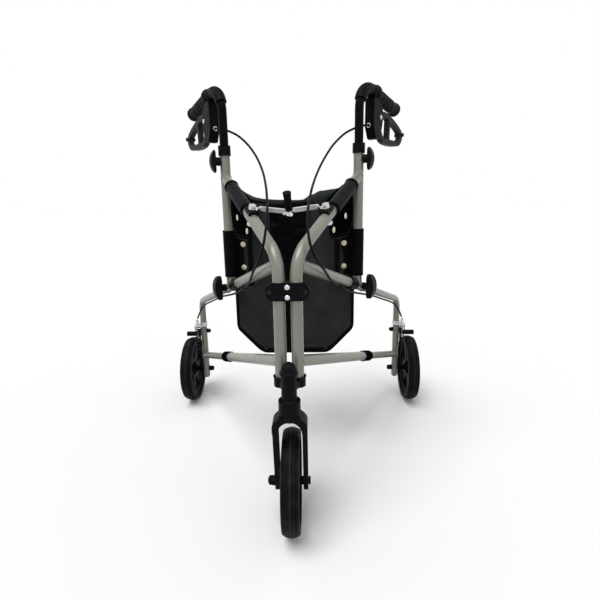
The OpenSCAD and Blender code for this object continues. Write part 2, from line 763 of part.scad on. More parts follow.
module leg_hardware(side) {
    inboard = inner_d / 2 + seat_gap;
    hub_in = wheel_offset - hub_w / 2 - part_gap;
    hub_out = wheel_offset + hub_w / 2 + part_gap;
    arm_out = arm_x + arm_t + part_gap;
    color(steel) at_leg(side) {
        translate([0, 0, axle_z]) outward() {
            translate([0, 0, -inboard - 2]) cylinder(d = axle_d, h = hub_out + inboard + 3);
            translate([0, 0, -inboard]) rotate([180, 0, 0]) cap_nut(17, 15);
            translate([0, 0, inboard]) cylinder(d = axle_d + 6, h = hub_in - inboard);
            translate([0, 0, hub_out]) cylinder(d = 17, h = 4, $fn = 6);
        }
        translate([0, 0, brake_z]) outward() {
            translate([0, 0, -inboard - 2]) cylinder(d = brake_bolt_d, h = arm_out + inboard + 3);
            translate([0, 0, -inboard]) rotate([180, 0, 0]) cap_nut(14, 12);
            translate([0, 0, arm_out]) cylinder(d = 13, h = 4, $fn = 6);
        }
        difference() {
            union() {
                translate([0, 0, spring_high - 4]) pipe(inner_d + 2 * band_t, inner_d + 2 * seat_gap, 12);
                translate([0, 0, spring_high]) linear_extrude(bracket_t) difference() {
                    bar([4, -inner_d / 2 - 3], [spring_x, spring_y], 20);
                    circle(d = inner_d + 2 * seat_gap);
                }
                translate([spring_x, spring_y, spring_high]) cylinder(d = 9, h = 20);
                translate([spring_x, spring_y, spring_high + bracket_t]) cylinder(d = 13, h = 5, $fn = 6);
            }
            translate([spring_x, spring_y, spring_high - 1]) cylinder(d = 3, h = 40);
            translate([spring_x, spring_y, spring_high + 12]) cylinder(d = cable_d + 2 * part_gap, h = 20);
        }
    }
}
module leg_knob(side) {
    color(black) on_side(side) translate([tube_d / 2, leg_knob_u, mid_z(leg_knob_u)]) outward()
        wing_knob(58, 24, 18, 17, 12);
}
module snap_button(side) {
    inside = inner_d / 2 - tube_wall - 0.5;
    proud = 2.2;
    color(brass) on_side(side) translate([inside, button_u, low_z(button_u)]) outward()
        dome_screw(button_d, tube_d / 2 - inside + proud);
}
module rear_tyre(side) {
    color(rubber) at_leg(side) translate([wheel_offset, 0, axle_z]) tyre();
}
module rear_rim(side) {
    color(black) at_leg(side) translate([wheel_offset, 0, axle_z]) rim();
}

// Rear brake
module brake_arm(side) {
    boss = arm_x - inner_d / 2 - part_gap;
    shoe_l = wheel_offset + tyre_w / 2 - arm_x - arm_t;
    color(black) at_leg(side) difference() {
        union() {
            translate([arm_x + arm_t / 2, 0, 0]) side_plate(arm_t) {
                bar([0, brake_z], [-1, arm_foot_z + arm_bar / 2], arm_bar);
                bar([0, brake_z], [shoe_y, shoe_z], arm_bar);
                bar([-1, arm_foot_z + arm_bar / 2], [spring_y - 4, arm_foot_z + arm_bar / 2 - 3], 6);
            }
            translate([arm_x - boss, 0, brake_z]) outward() cylinder(d = 14, h = boss);
            translate([arm_x - 5, spring_y - 10, arm_foot_z]) cube([arm_t + 10, 24, arm_t]);
            translate([arm_x + arm_t, shoe_y, shoe_z]) outward() cylinder(d = shoe_d, h = shoe_l);
        }
        translate([0, 0, brake_z]) outward() cylinder(d = brake_bolt_d + 2 * run_gap, h = 60);
        translate([arm_x - 6, spring_y - 12, arm_foot_z + arm_t]) cube([20, 22, 20]);
        translate([spring_x, spring_y, arm_foot_z - 5]) cylinder(d = 3, h = 20);
    }
}
// Conical helix with straight ends along its axis' tangent
spring_pitch = (spring_high - spring_low - spring_wire - 2 * part_gap) / spring_curls;
function spring_r(t) = spring_r_low + (spring_r_high - spring_r_low) * t / spring_curls;
function spring_point(t) = [spring_r(t) * cos(360 * t), spring_r(t) * sin(360 * t), spring_pitch * t];
spring_steps = spring_curls * 8;
spring_helix = [for (i = [0 : spring_steps]) spring_point(i / 8)];
spring_path = concat([spring_helix[0] - [0, spring_wire, 0]], spring_helix,
    [spring_helix[spring_steps] + [0, spring_wire, 0]]);
spring_gap = min([for (i = [0 : spring_steps - 5], j = [i + 5 : min(i + 12, spring_steps)])
    norm(spring_helix[i] - spring_helix[j])]) - spring_wire;
echo(spring_gap = spring_gap);
module brake_spring(side) {
    color(black) at_leg(side)
        translate([spring_x, spring_y, spring_low + part_gap + spring_wire / 2])
            sweep(spring_path, spring_wire / 2, 6, [0, 0, 1]);
}
module brake_cable(side) {
    color(rubber) {
        mirror([side < 0 ? 1 : 0, 0, 0]) sweep(smooth(cable_route, cable_steps), cable_d / 2, 8, [1, 0.3, 0]);
        at_leg(side) translate([spring_x, spring_y, arm_foot_z - 4]) cylinder(d = 1.6, h = 96);
    }
}

// Bag
module bag_outline(inset, top) {
    foot = bag_foot_w / 2 - bag_round;
    half = bag_w / 2 - bag_round;
    offset(r = bag_round - inset, $fn = 24) polygon([[-foot, bag_z + bag_round], [foot, bag_z + bag_round],
        [half, bag_corner_z], [half, top], [-half, top], [-half, bag_corner_z]]);
}
// Space over the rim, which hangs in a curve between the side frames
module over_rim(r) {
    translate([0, bag_y + bag_depth / 2, bag_top + rim_r]) rotate([90, 0, 0])
        cylinder(r = r, h = 2 * bag_depth, center = true, $fn = 180);
}
module bag_body() {
    high = bag_top + bag_sag + bag_round;
    color(cloth) difference() {
        translate([0, bag_y + bag_depth, 0]) rotate([90, 0, 0]) linear_extrude(bag_depth) bag_outline(0, high);
        translate([0, bag_y + bag_depth - bag_wall, 0]) rotate([90, 0, 0])
            linear_extrude(bag_depth - 2 * bag_wall) bag_outline(bag_wall, high + 2 * bag_round);
        over_rim(rim_r);
    }
}
module bag_lid() {
    color(cloth) difference() {
        intersection() {
            translate([-bag_w / 2, bag_y - lid_lap, bag_top]) cube([bag_w, bag_depth + lid_lap, 2 * bag_sag]);
            over_rim(rim_r - part_gap);
        }
        over_rim(rim_r - part_gap - lid_t);
    }
}
module at_side_flap(side) {
    on_side(side) translate([0, upright_u, 0]) rotate([0, 0, frame_angle]) children();
}
module bag_flaps(side) {
    sleeve_l = (sleeve_to - sleeve_from) / cos(top_slope);
    flap_l = sleeve_l - 14;
    bore = tube_d + 2 * part_gap;
    color(vinyl) {
        on_side(side) translate([0, sleeve_from, top_z(sleeve_from)]) aim(top_slope) difference() {
            union() {
                cylinder(r = sleeve_r, h = sleeve_l);
                translate([0, tube_d / 2, sleeve_l / 2]) side_flap_plate(flap_l, rail_flap_drop);
            }
            translate([0, 0, -1]) cylinder(d = bore, h = sleeve_l + 2);
        }
        at_side_flap(side) difference() {
            union() {
                translate([0, 0, side_flap_z[0]]) cylinder(r = sleeve_r, h = side_flap_z[1] - side_flap_z[0]);
                translate([-side_flap_w, sleeve_r - flap_t, side_flap_z[0]])
                    cube([side_flap_w, flap_t, side_flap_z[1] - side_flap_z[0]]);
            }
            translate([0, 0, side_flap_z[0] - 1]) cylinder(d = bore, h = 200);
        }
    }
}
// Plate that hangs from a rail sleeve, with rounded lower corners; Y points away from the rail
module side_flap_plate(l, drop) {
    r = 12;
    rotate([0, 90, 0]) linear_extrude(flap_t, center = true) {
        translate([-l / 2, 0]) square([l, drop - r]);
        bar([-l / 2 + r, drop - r], [l / 2 - r, drop - r], 2 * r);
    }
}
module snaps(side) {
    color(tan_snap) {
        on_side(side) for (u = [sleeve_from + 30, sleeve_to - 32])
            translate([0, u, top_z(u)]) aim(top_slope) translate([flap_t / 2 + seat_gap, tube_d / 2 + 44, 0])
                outward() dome_screw(snap_d, snap_t);
        at_side_flap(side) for (z = [side_flap_z[0] + 24, side_flap_z[1] - 26])
            translate([-side_flap_w + 10, sleeve_r - flap_t - seat_gap, z]) rotate([90, 0, 0])
                dome_screw(snap_d, snap_t);
    }
}

head_casting();
head_cap();
hinge_front();
hinge_rear();
hinge_screws();
fork();
caster_hardware();
front_tyre();
front_rim();
pull_knob();
bag_body();
bag_lid();
main_tube(-1);  // left_main_tube
main_tube(1);  // right_main_tube
upright(-1);  // left_upright
upright(1);  // right_upright
mid_rail(-1);  // left_mid_rail
mid_rail(1);  // right_mid_rail
lower_rail(-1);  // left_lower_rail
lower_rail(1);  // right_lower_rail
bushes(-1);  // left_bushes
bushes(1);  // right_bushes
link_bolt(-1);  // left_link_bolt
link_bolt(1);  // right_link_bolt
link(-1);  // left_link
link(1);  // right_link
handle_tube(-1);  // left_handle_tube
handle_tube(1);  // right_handle_tube
grip(-1);  // left_grip
grip(1);  // right_grip
brake_housing(-1);  // left_brake_housing
brake_housing(1);  // right_brake_housing
brake_lever(-1);  // left_brake_lever
brake_lever(1);  // right_brake_lever
lever_hardware(-1);  // left_lever_hardware
lever_hardware(1);  // right_lever_hardware
handle_knob(-1);  // left_handle_knob
handle_knob(1);  // right_handle_knob
rear_leg(-1);  // left_rear_leg
rear_leg(1);  // right_rear_leg
leg_hardware(-1);  // left_leg_hardware
leg_hardware(1);  // right_leg_hardware
leg_knob(-1);  // left_leg_knob
leg_knob(1);  // right_leg_knob
snap_button(-1);  // left_snap_button
snap_button(1);  // right_snap_button
rear_tyre(-1);  // left_rear_tyre
rear_tyre(1);  // right_rear_tyre
rear_rim(-1);  // left_rear_rim
rear_rim(1);  // right_rear_rim
brake_arm(-1);  // left_brake_arm
brake_arm(1);  // right_brake_arm
brake_spring(-1);  // left_brake_spring
brake_spring(1);  // right_brake_spring
brake_cable(-1);  // left_brake_cable
brake_cable(1);  // right_brake_cable
bag_flaps(-1);  // left_bag_flaps
bag_flaps(1);  // right_bag_flaps
snaps(-1);  // left_snaps
snaps(1);  // right_snaps
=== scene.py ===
"""Looks of the three wheel rollator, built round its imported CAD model."""
import json
from math import acos, atan, atan2, cos, pi, radians, sin, sqrt, tan

import bmesh
import bpy
from mathutils import Matrix, Vector, noise
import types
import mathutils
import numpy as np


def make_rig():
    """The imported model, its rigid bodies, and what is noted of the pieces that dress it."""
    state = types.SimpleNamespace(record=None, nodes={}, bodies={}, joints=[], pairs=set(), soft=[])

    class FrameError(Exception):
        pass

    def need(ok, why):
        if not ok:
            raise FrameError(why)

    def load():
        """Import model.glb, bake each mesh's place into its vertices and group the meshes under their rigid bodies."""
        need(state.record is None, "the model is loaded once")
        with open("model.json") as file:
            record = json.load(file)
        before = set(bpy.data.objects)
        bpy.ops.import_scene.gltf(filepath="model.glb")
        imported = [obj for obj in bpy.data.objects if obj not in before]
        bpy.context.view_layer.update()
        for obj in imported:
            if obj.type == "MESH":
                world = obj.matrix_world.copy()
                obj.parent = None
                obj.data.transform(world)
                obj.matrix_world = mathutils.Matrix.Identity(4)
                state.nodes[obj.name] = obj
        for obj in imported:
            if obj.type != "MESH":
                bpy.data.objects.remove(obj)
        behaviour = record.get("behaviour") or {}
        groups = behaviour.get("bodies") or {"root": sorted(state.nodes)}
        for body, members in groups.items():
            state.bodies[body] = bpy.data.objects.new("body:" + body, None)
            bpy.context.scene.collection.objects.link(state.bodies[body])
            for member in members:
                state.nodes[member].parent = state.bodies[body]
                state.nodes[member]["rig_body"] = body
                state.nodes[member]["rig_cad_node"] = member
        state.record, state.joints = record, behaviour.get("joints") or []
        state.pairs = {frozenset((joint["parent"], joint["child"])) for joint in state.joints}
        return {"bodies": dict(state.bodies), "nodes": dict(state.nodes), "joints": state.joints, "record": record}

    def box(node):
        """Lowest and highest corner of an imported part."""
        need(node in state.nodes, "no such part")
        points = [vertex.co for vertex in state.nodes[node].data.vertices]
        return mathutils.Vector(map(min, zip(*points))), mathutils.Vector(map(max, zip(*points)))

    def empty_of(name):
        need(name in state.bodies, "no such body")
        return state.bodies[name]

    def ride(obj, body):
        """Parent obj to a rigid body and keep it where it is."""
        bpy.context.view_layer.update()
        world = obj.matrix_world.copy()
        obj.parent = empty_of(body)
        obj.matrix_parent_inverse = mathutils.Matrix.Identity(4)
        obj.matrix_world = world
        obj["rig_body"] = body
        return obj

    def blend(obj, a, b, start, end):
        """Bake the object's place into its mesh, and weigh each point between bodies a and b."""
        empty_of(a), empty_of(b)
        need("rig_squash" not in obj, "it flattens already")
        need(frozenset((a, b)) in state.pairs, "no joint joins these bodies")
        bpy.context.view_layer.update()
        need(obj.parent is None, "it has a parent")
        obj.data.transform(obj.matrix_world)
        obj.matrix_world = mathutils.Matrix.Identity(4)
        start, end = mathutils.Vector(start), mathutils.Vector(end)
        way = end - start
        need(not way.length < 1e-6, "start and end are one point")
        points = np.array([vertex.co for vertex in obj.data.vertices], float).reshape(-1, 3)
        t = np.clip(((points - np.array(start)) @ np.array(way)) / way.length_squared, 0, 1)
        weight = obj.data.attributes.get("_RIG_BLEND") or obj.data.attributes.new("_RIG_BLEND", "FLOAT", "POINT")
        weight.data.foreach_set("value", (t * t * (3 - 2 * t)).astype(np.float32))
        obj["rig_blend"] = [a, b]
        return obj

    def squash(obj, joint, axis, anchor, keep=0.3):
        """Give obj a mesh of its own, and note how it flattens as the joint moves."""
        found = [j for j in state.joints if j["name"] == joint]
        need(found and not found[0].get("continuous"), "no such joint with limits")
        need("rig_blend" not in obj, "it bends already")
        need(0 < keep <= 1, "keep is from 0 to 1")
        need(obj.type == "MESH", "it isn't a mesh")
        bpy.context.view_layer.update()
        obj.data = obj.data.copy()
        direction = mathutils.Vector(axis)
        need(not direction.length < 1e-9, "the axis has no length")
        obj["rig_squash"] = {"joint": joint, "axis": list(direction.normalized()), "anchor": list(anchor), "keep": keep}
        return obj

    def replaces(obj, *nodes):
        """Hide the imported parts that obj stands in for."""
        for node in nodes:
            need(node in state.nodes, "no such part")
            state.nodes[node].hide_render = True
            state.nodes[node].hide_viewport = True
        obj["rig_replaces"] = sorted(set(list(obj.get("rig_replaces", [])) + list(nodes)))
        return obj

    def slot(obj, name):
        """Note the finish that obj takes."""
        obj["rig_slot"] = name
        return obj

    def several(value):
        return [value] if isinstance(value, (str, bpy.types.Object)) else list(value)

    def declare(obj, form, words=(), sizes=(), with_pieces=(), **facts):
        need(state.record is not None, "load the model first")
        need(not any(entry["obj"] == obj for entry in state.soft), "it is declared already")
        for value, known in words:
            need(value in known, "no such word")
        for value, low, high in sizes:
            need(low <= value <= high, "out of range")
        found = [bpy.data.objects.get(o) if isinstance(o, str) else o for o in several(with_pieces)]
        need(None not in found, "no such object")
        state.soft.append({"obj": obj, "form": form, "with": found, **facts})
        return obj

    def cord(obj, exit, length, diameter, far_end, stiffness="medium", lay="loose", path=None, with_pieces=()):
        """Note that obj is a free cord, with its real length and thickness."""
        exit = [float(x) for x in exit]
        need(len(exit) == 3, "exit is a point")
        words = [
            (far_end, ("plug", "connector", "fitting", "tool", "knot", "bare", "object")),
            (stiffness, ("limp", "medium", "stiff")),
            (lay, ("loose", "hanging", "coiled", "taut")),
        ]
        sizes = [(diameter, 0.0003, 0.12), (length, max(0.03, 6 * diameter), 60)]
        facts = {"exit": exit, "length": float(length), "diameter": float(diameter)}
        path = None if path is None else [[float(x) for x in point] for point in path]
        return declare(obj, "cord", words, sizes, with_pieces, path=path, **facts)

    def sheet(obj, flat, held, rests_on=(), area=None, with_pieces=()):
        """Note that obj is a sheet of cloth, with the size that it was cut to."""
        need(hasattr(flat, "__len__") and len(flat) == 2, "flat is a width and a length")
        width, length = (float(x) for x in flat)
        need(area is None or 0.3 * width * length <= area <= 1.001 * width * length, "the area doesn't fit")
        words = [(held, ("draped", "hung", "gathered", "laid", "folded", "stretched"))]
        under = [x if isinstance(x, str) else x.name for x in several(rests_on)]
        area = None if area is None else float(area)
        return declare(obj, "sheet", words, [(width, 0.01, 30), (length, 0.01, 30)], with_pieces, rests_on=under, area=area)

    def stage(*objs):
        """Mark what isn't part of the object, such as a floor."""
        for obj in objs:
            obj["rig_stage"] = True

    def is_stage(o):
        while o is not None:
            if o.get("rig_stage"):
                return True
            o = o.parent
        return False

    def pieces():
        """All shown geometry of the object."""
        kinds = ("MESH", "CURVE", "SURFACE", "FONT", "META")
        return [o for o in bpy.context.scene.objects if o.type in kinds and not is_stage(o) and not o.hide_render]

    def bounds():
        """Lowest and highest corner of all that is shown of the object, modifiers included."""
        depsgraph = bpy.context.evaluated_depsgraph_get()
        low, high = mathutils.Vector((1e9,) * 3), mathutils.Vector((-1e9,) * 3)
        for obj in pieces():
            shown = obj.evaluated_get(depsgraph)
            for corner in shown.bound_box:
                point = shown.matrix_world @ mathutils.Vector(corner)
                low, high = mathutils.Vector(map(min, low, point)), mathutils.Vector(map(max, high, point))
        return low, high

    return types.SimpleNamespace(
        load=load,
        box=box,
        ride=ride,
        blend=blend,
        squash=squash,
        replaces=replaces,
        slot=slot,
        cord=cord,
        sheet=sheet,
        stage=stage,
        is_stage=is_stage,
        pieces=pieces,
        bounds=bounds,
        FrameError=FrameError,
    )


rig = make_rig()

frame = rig.load()
cad_box = [list(corner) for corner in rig.bounds()]

SIDES = (("left", -1), ("right", 1))

# Values of the part's source, in metres and radians
FRAME_ANGLE, HANDLE_ANGLE, TOP_SLOPE, RAIL_SLOPE = (radians(a) for a in (27, 34, 26, 17.7))
COLUMN_X, COLUMN_Y = 0.0155, -0.2765
TOP_FRONT, MID_FRONT, LOW_FRONT = 0.535, 0.523, 0.345
TUBE_R = 0.0111
UPRIGHT_U = 0.290
WHEEL_R = 0.100
BAG_HALF, BAG_FOOT_HALF = 0.140, 0.069
BAG_FRONT, BAG_DEPTH = -0.0036, 0.094
BAG_LOW, BAG_CORNER, BAG_TOP = 0.260, 0.335, 0.620
BAG_SLOPE = (BAG_CORNER - BAG_LOW) / (BAG_HALF - BAG_FOOT_HALF)
BAG_TILT = atan(BAG_SLOPE)


def top_z(u):
    """Height of the upper rail's axis at u."""
    return TOP_FRONT + u * tan(TOP_SLOPE)


def mid_z(u):
    """Height of the mid rail's axis at u."""
    return MID_FRONT - u * tan(RAIL_SLOPE)


def swung(origin, angle, side, back, out, z):
    """A point in the upright plane through origin that is turned outward by an angle."""
    x = origin[0] + back * sin(angle) + out * cos(angle)
    y = origin[1] + back * cos(angle) - out * sin(angle)
    return Vector((side * x, y, z))


def on_side(side, u, n, z):
    """A point of a side frame: u back from the front tube, n outward."""
    return swung((COLUMN_X, COLUMN_Y), FRAME_ANGLE, side, u, n, z)


UPRIGHT = on_side(1, UPRIGHT_U, 0, 0)


# Materials

# Length of a wave in Blender's wave texture at scale 1
WAVE_LENGTH = 0.314


def combine(tree, operation, a, b):
    """Output of a Math node on two sockets, or a socket and a number."""
    made = tree.nodes.new("ShaderNodeMath")
    made.operation = operation
    for socket, value in zip(made.inputs, (a, b)):
        if isinstance(value, float):
            socket.default_value = value
        else:
            tree.links.new(value, socket)
    return made.outputs[0]


class Look:
    """A Principled material; its methods add detail to the shader's inputs."""

    def __init__(self, name, colour, roughness, **sockets):
        self.material = bpy.data.materials.new(name)
        self.material.use_nodes = True
        self.tree = self.material.node_tree
        self.shader = self.tree.nodes["Principled BSDF"]
        self.shader.inputs["Base Color"].default_value = (*colour, 1)
        self.shader.inputs["Roughness"].default_value = roughness
        for socket, value in sockets.items():
            label = socket.replace("_", " ").title().replace("Ior", "IOR")
            self.shader.inputs[label].default_value = value
        self.coords = self.tree.nodes.new("ShaderNodeTexCoord").outputs["Object"]
        self.normal = None

    def node(self, kind, links=(), **values):
        made = self.tree.nodes.new(kind)
        for socket, value in values.items():
            made.inputs[socket].default_value = value
        for socket, source in links:
            self.tree.links.new(source, made.inputs[socket])
        return made

    def mapped(self, kind, coords=None, **values):
        """A node that takes the object's coordinates, or others."""
        return self.node(f"ShaderNode{kind}", [("Vector", coords or self.coords)], **values)

    def noise(self, scale, detail=3.0, coords=None):
        return self.mapped("TexNoise", coords, Scale=scale, Detail=detail).outputs[0]

    def waves(self, axis, pitch):
        made = self.mapped("TexWave", Scale=WAVE_LENGTH / pitch)
        made.bands_direction = axis
        return made.outputs["Fac"]

    def threads(self, pitch):
        """Height of a plain weave: waves along each axis, so each flat side shows two of them."""
        x, y, z = (self.waves(axis, pitch) for axis in "XYZ")
        return combine(self.tree, "ADD", combine(self.tree, "ADD", x, y), z)

    def colours(self, source, low, high, dark, light):
        """Base colour from dark to light, as a pattern goes from low to high."""
        ramp = self.tree.nodes.new("ShaderNodeValToRGB")
        for element, place, colour in zip(ramp.color_ramp.elements, (low, high), (dark, light)):
            element.position = place
            element.color = (*colour, 1)
        self.tree.links.new(source, ramp.inputs[0])
        self.tree.links.new(ramp.outputs[0], self.shader.inputs["Base Color"])

    def rough(self, source, low, high):
        """Roughness from low to high over the middle values of a pattern."""
        limits = {"From Min": 0.3, "From Max": 0.7, "To Min": low, "To Max": high}
        ranged = self.node("ShaderNodeMapRange", [("Value", source)], **limits)
        self.tree.links.new(ranged.outputs[0], self.shader.inputs["Roughness"])

    def bump(self, height, strength, distance):
        """Adds a bump on top of those that were added before it."""
        links = [("Height", height)]
        if self.normal:
            links.append(("Normal", self.normal))
        made = self.node("ShaderNodeBump", links, Strength=strength, Distance=distance)
        self.normal = made.outputs[0]
        self.tree.links.new(self.normal, self.shader.inputs["Normal"])


def grey(level):
    return level, level, level


def tone(colour, factor):
    return tuple(c * factor for c in colour)


def metal_paint(name, colour, roughness, metallic):
    """Paint with fine flakes under a clear coat."""
    look = Look(name, colour, roughness, metallic=metallic, coat_weight=0.25, coat_roughness=0.12)
    look.colours(look.noise(14, 4), 0.3, 0.7, tone(colour, 0.93), tone(colour, 1.06))
    look.rough(look.noise(60), roughness - 0.05, roughness + 0.08)
    look.bump(look.noise(2600, 1), strength=0.06, distance=0.0002)
    look.bump(look.noise(240), strength=0.08, distance=0.0003)
    return look.material


def moulded(name, colour, roughness, grain, depth=0.12, specular=0.05):
    look = Look(name, colour, roughness, specular_ior_level=specular)
    look.colours(look.noise(35, 5), 0.25, 0.75, tone(colour, 0.8), tone(colour, 1.25))
    look.rough(look.noise(90), roughness - 0.08, roughness + 0.1)
    look.bump(look.noise(grain, 2), depth, distance=0.0004)
    return look.material


def rubber(name, colour, roughness, grain, dust):
    look = Look(name, colour, roughness, specular_ior_level=0.05)
    look.colours(look.noise(55, 8), 0.42, 0.78, colour, dust)
    look.rough(look.noise(40, 5), roughness - 0.1, roughness + 0.1)
    look.bump(look.noise(grain, 4), strength=0.2, distance=0.0005)
    return look.material


def bright_metal(name, colour, roughness, stretch=(1, 1, 1)):
    look = Look(name, colour, roughness, metallic=1.0)
    lines = look.noise(900, 2, look.mapped("Mapping", Scale=stretch).outputs[0])
    look.colours(look.noise(70, 4), 0.3, 0.7, tone(colour, 0.86), colour)
    look.rough(lines, roughness - 0.08, roughness + 0.12)
    look.bump(lines, strength=0.05, distance=0.0002)
    return look.material


def woven(name, colour, pitch=0.0013, sheen=0.03):
    look = Look(name, colour, 0.85, sheen_weight=sheen, sheen_roughness=0.4,
                specular_ior_level=0.03)
    weave = look.threads(pitch)
    faint = combine(look.tree, "MULTIPLY", weave, 0.05)
    mottled = combine(look.tree, "ADD", faint, look.noise(26, 6))
    look.colours(mottled, 0.35, 0.8, tone(colour, 0.78), tone(colour, 1.22))
    look.bump(weave, strength=0.14, distance=0.0004)
    look.bump(look.noise(55, 3), strength=0.25, distance=0.002)
    return look.material


def coated(name, colour, roughness, specular=0.03):
    """Coated cloth or vinyl with a fine leather grain."""
    look = Look(name, colour, roughness, specular_ior_level=specular)
    look.colours(look.noise(30, 5), 0.3, 0.75, tone(colour, 0.75), tone(colour, 1.3))
    look.rough(look.noise(45, 4), roughness - 0.06, roughness + 0.1)
    look.bump(look.mapped("TexVoronoi", Scale=850).outputs[0], strength=0.22, distance=0.0004)
    look.bump(look.noise(70, 3), strength=0.2, distance=0.0015)
    return look.material


CHAMPAGNE = (0.246, 0.252, 0.208)
BLACK = (0.0052, 0.0056, 0.0064)
CHARCOAL = (0.0385, 0.0402, 0.0395)
looks = {
    "paint": metal_paint("champagne_paint", CHAMPAGNE, 0.34, metallic=0.2),
    "black_paint": moulded("black_coat", (0.0034, 0.0034, 0.0042), 0.4, grain=900, depth=0.05,
                           specular=0.04),
    "black_fork": moulded("black_fork_coat", BLACK, 0.42, grain=700),
    "black_plastic": moulded("black_moulding", BLACK, 0.45, grain=1100),
    "tyre": rubber("tyre_rubber", (0.0052, 0.0052, 0.0056), 0.55, grain=420, dust=grey(0.013)),
    "tyre_edge": rubber("worn_tyre_edge", (0.050, 0.050, 0.051), 0.6, grain=420,
                        dust=(0.095, 0.095, 0.093)),
    "grip": rubber("grip_rubber", (0.024, 0.024, 0.022), 0.6, grain=900,
                   dust=(0.040, 0.040, 0.037)),
    "cable": moulded("cable_sheath", (0.0050, 0.0050, 0.0058), 0.38, grain=2200, depth=0.05),
    "steel": bright_metal("bright_steel", (0.62, 0.63, 0.64), 0.24, stretch=(1, 1, 14)),
    "dark_screw": bright_metal("dark_screw", (0.022, 0.023, 0.025), 0.3),
    "ferrule": moulded("matte_ferrule", BLACK, 0.6, grain=900, depth=0.1, specular=0.0),
    "zinc": bright_metal("zinc_strap", (0.86, 0.87, 0.88), 0.3, stretch=(1, 12, 12)),
    "brass": bright_metal("brass_button", (0.58, 0.33, 0.10), 0.34),
    "bag_cloth": woven("charcoal_weave", CHARCOAL),
    "vinyl": coated("black_vinyl", (0.0030, 0.0032, 0.0042), 0.4),
    "gloss_vinyl": coated("gloss_vinyl", (0.0026, 0.0028, 0.0034), 0.26),
    "flap_vinyl": coated("matte_flap_vinyl", (0.0030, 0.0033, 0.0042), 0.7, specular=0.0),
    "snap_metal": bright_metal("tan_press_stud", (0.62, 0.54, 0.42), 0.32),
    "sleeve": coated("charcoal_vinyl", (0.0135, 0.0148, 0.0158), 0.45),
    "piping": coated("black_piping", (0.0022, 0.0022, 0.0028), 0.5),
    "thread": moulded("sewing_thread", (0.020, 0.020, 0.022), 0.7, grain=1500),
    "lid_cloth": woven("lid_weave", (0.0230, 0.0275, 0.0275)),
    # Brake levers: a grey lighter than the black mouldings, a painted sheen for the light that they catch
    "lever": moulded("lever_grey_painted_sheen", (0.032, 0.033, 0.032), 0.45, grain=1000),
}
slot_of = {row["node"]: row["material_slot"] for row in frame["record"]["subparts"]}
for node, cad_object in frame["nodes"].items():
    cad_object.data.materials.clear()
    # The brake levers take the lighter grey look, whose lightness is painted sheen
    look = "lever" if node.endswith("brake_lever") else slot_of[node]
    cad_object.data.materials.append(looks[look])


def recolour(node, look, test):
    """Gives the faces of a CAD node whose middles pass a test another look."""
    cad_object = frame["nodes"][node]
    cad_object.data.materials.append(looks[look])
    for polygon in cad_object.data.polygons:
        if test(cad_object.matrix_world @ polygon.center):
            polygon.material_index = 1


# The recessed hinge screws lie further out than this, and the other pieces below these heights
RECESSED_X = 0.025
CASTER_AXLE_TOP, LEG_BOLTS_TOP, FERRULE_TOP = 0.2, 0.2375, 0.33
recolour("hinge_screws", "dark_screw", lambda p: abs(p.x) > RECESSED_X)
recolour("caster_hardware", "black_paint", lambda p: p.z < CASTER_AXLE_TOP)
for name, _ in SIDES:
    recolour(f"{name}_leg_hardware", "black_paint", lambda p: p.z < LEG_BOLTS_TOP)
    recolour(f"{name}_bushes", "ferrule", lambda p: p.z < FERRULE_TOP)


# Meshes


def spread(first, last, steps):
    """Even steps from one value to another, both included."""
    return [first + (last - first) * k / steps for k in range(steps + 1)]


def round_angles(steps):
    """Angles of even steps round a circle."""
    return [2 * pi * k / steps for k in range(steps)]


def add_mesh(name, points, faces, materials, face_material=None):
    """A smooth shaded piece; face_material gives each face the index of its material."""
    mesh = bpy.data.meshes.new(name)
    mesh.from_pydata([tuple(p) for p in points], [], faces)
    for material in materials:
        mesh.materials.append(looks[material])
    for index, polygon in enumerate(mesh.polygons):
        polygon.use_smooth = True
        if face_material:
            polygon.material_index = face_material[index]
    made = bpy.data.objects.new(name, mesh)
    bpy.context.scene.collection.objects.link(made)
    return made


def merged(parts):
    """Points and faces of several parts as those of one."""
    points, faces = [], []
    for more, more_faces in parts:
        start = len(points)
        points += more
        faces += [tuple(start + index for index in face) for face in more_faces]
    return points, faces


def grid_faces(rows, columns, wrap=False):
    """Faces between rows of points; wrap joins the ends of each row."""
    return [(r * columns + c, r * columns + (c + 1) % columns,
             (r + 1) * columns + (c + 1) % columns, (r + 1) * columns + c)
            for r in range(rows - 1) for c in range(columns if wrap else columns - 1)]


def thicken(piece, thickness, offset=0.0):
    """Turns a surface into a sheet: to both sides of it, or behind it where offset is -1."""
    solid = piece.modifiers.new("thickness", "SOLIDIFY")
    solid.thickness = thickness
    solid.offset = offset
    depsgraph = bpy.context.evaluated_depsgraph_get()
    mesh = bpy.data.meshes.new_from_object(piece.evaluated_get(depsgraph))
    piece.modifiers.clear()
    piece.data = mesh
    return piece


def sheet_mesh(name, rows, materials, thickness, face_material=None):
    """A cloth sheet through rows of points."""
    points = [p for row in rows for p in row]
    faces = grid_faces(len(rows), len(rows[0]))
    return thicken(add_mesh(name, points, faces, materials, face_material), thickness)


def smooth_path(points, steps):
    """Catmull-Rom curve through the points."""
    last = len(points) - 1
    made = []
    for i in range(last):
        a, b, c, d = (points[min(max(k, 0), last)] for k in (i - 1, i, i + 1, i + 2))
        for k in range(steps):
            t = k / steps
            made.append(0.5 * (2 * b + (c - a) * t + (2 * a - 5 * b + 4 * c - d) * t * t
                               + (3 * b - a - 3 * c + d) * t ** 3))
    return [*made, points[last]]


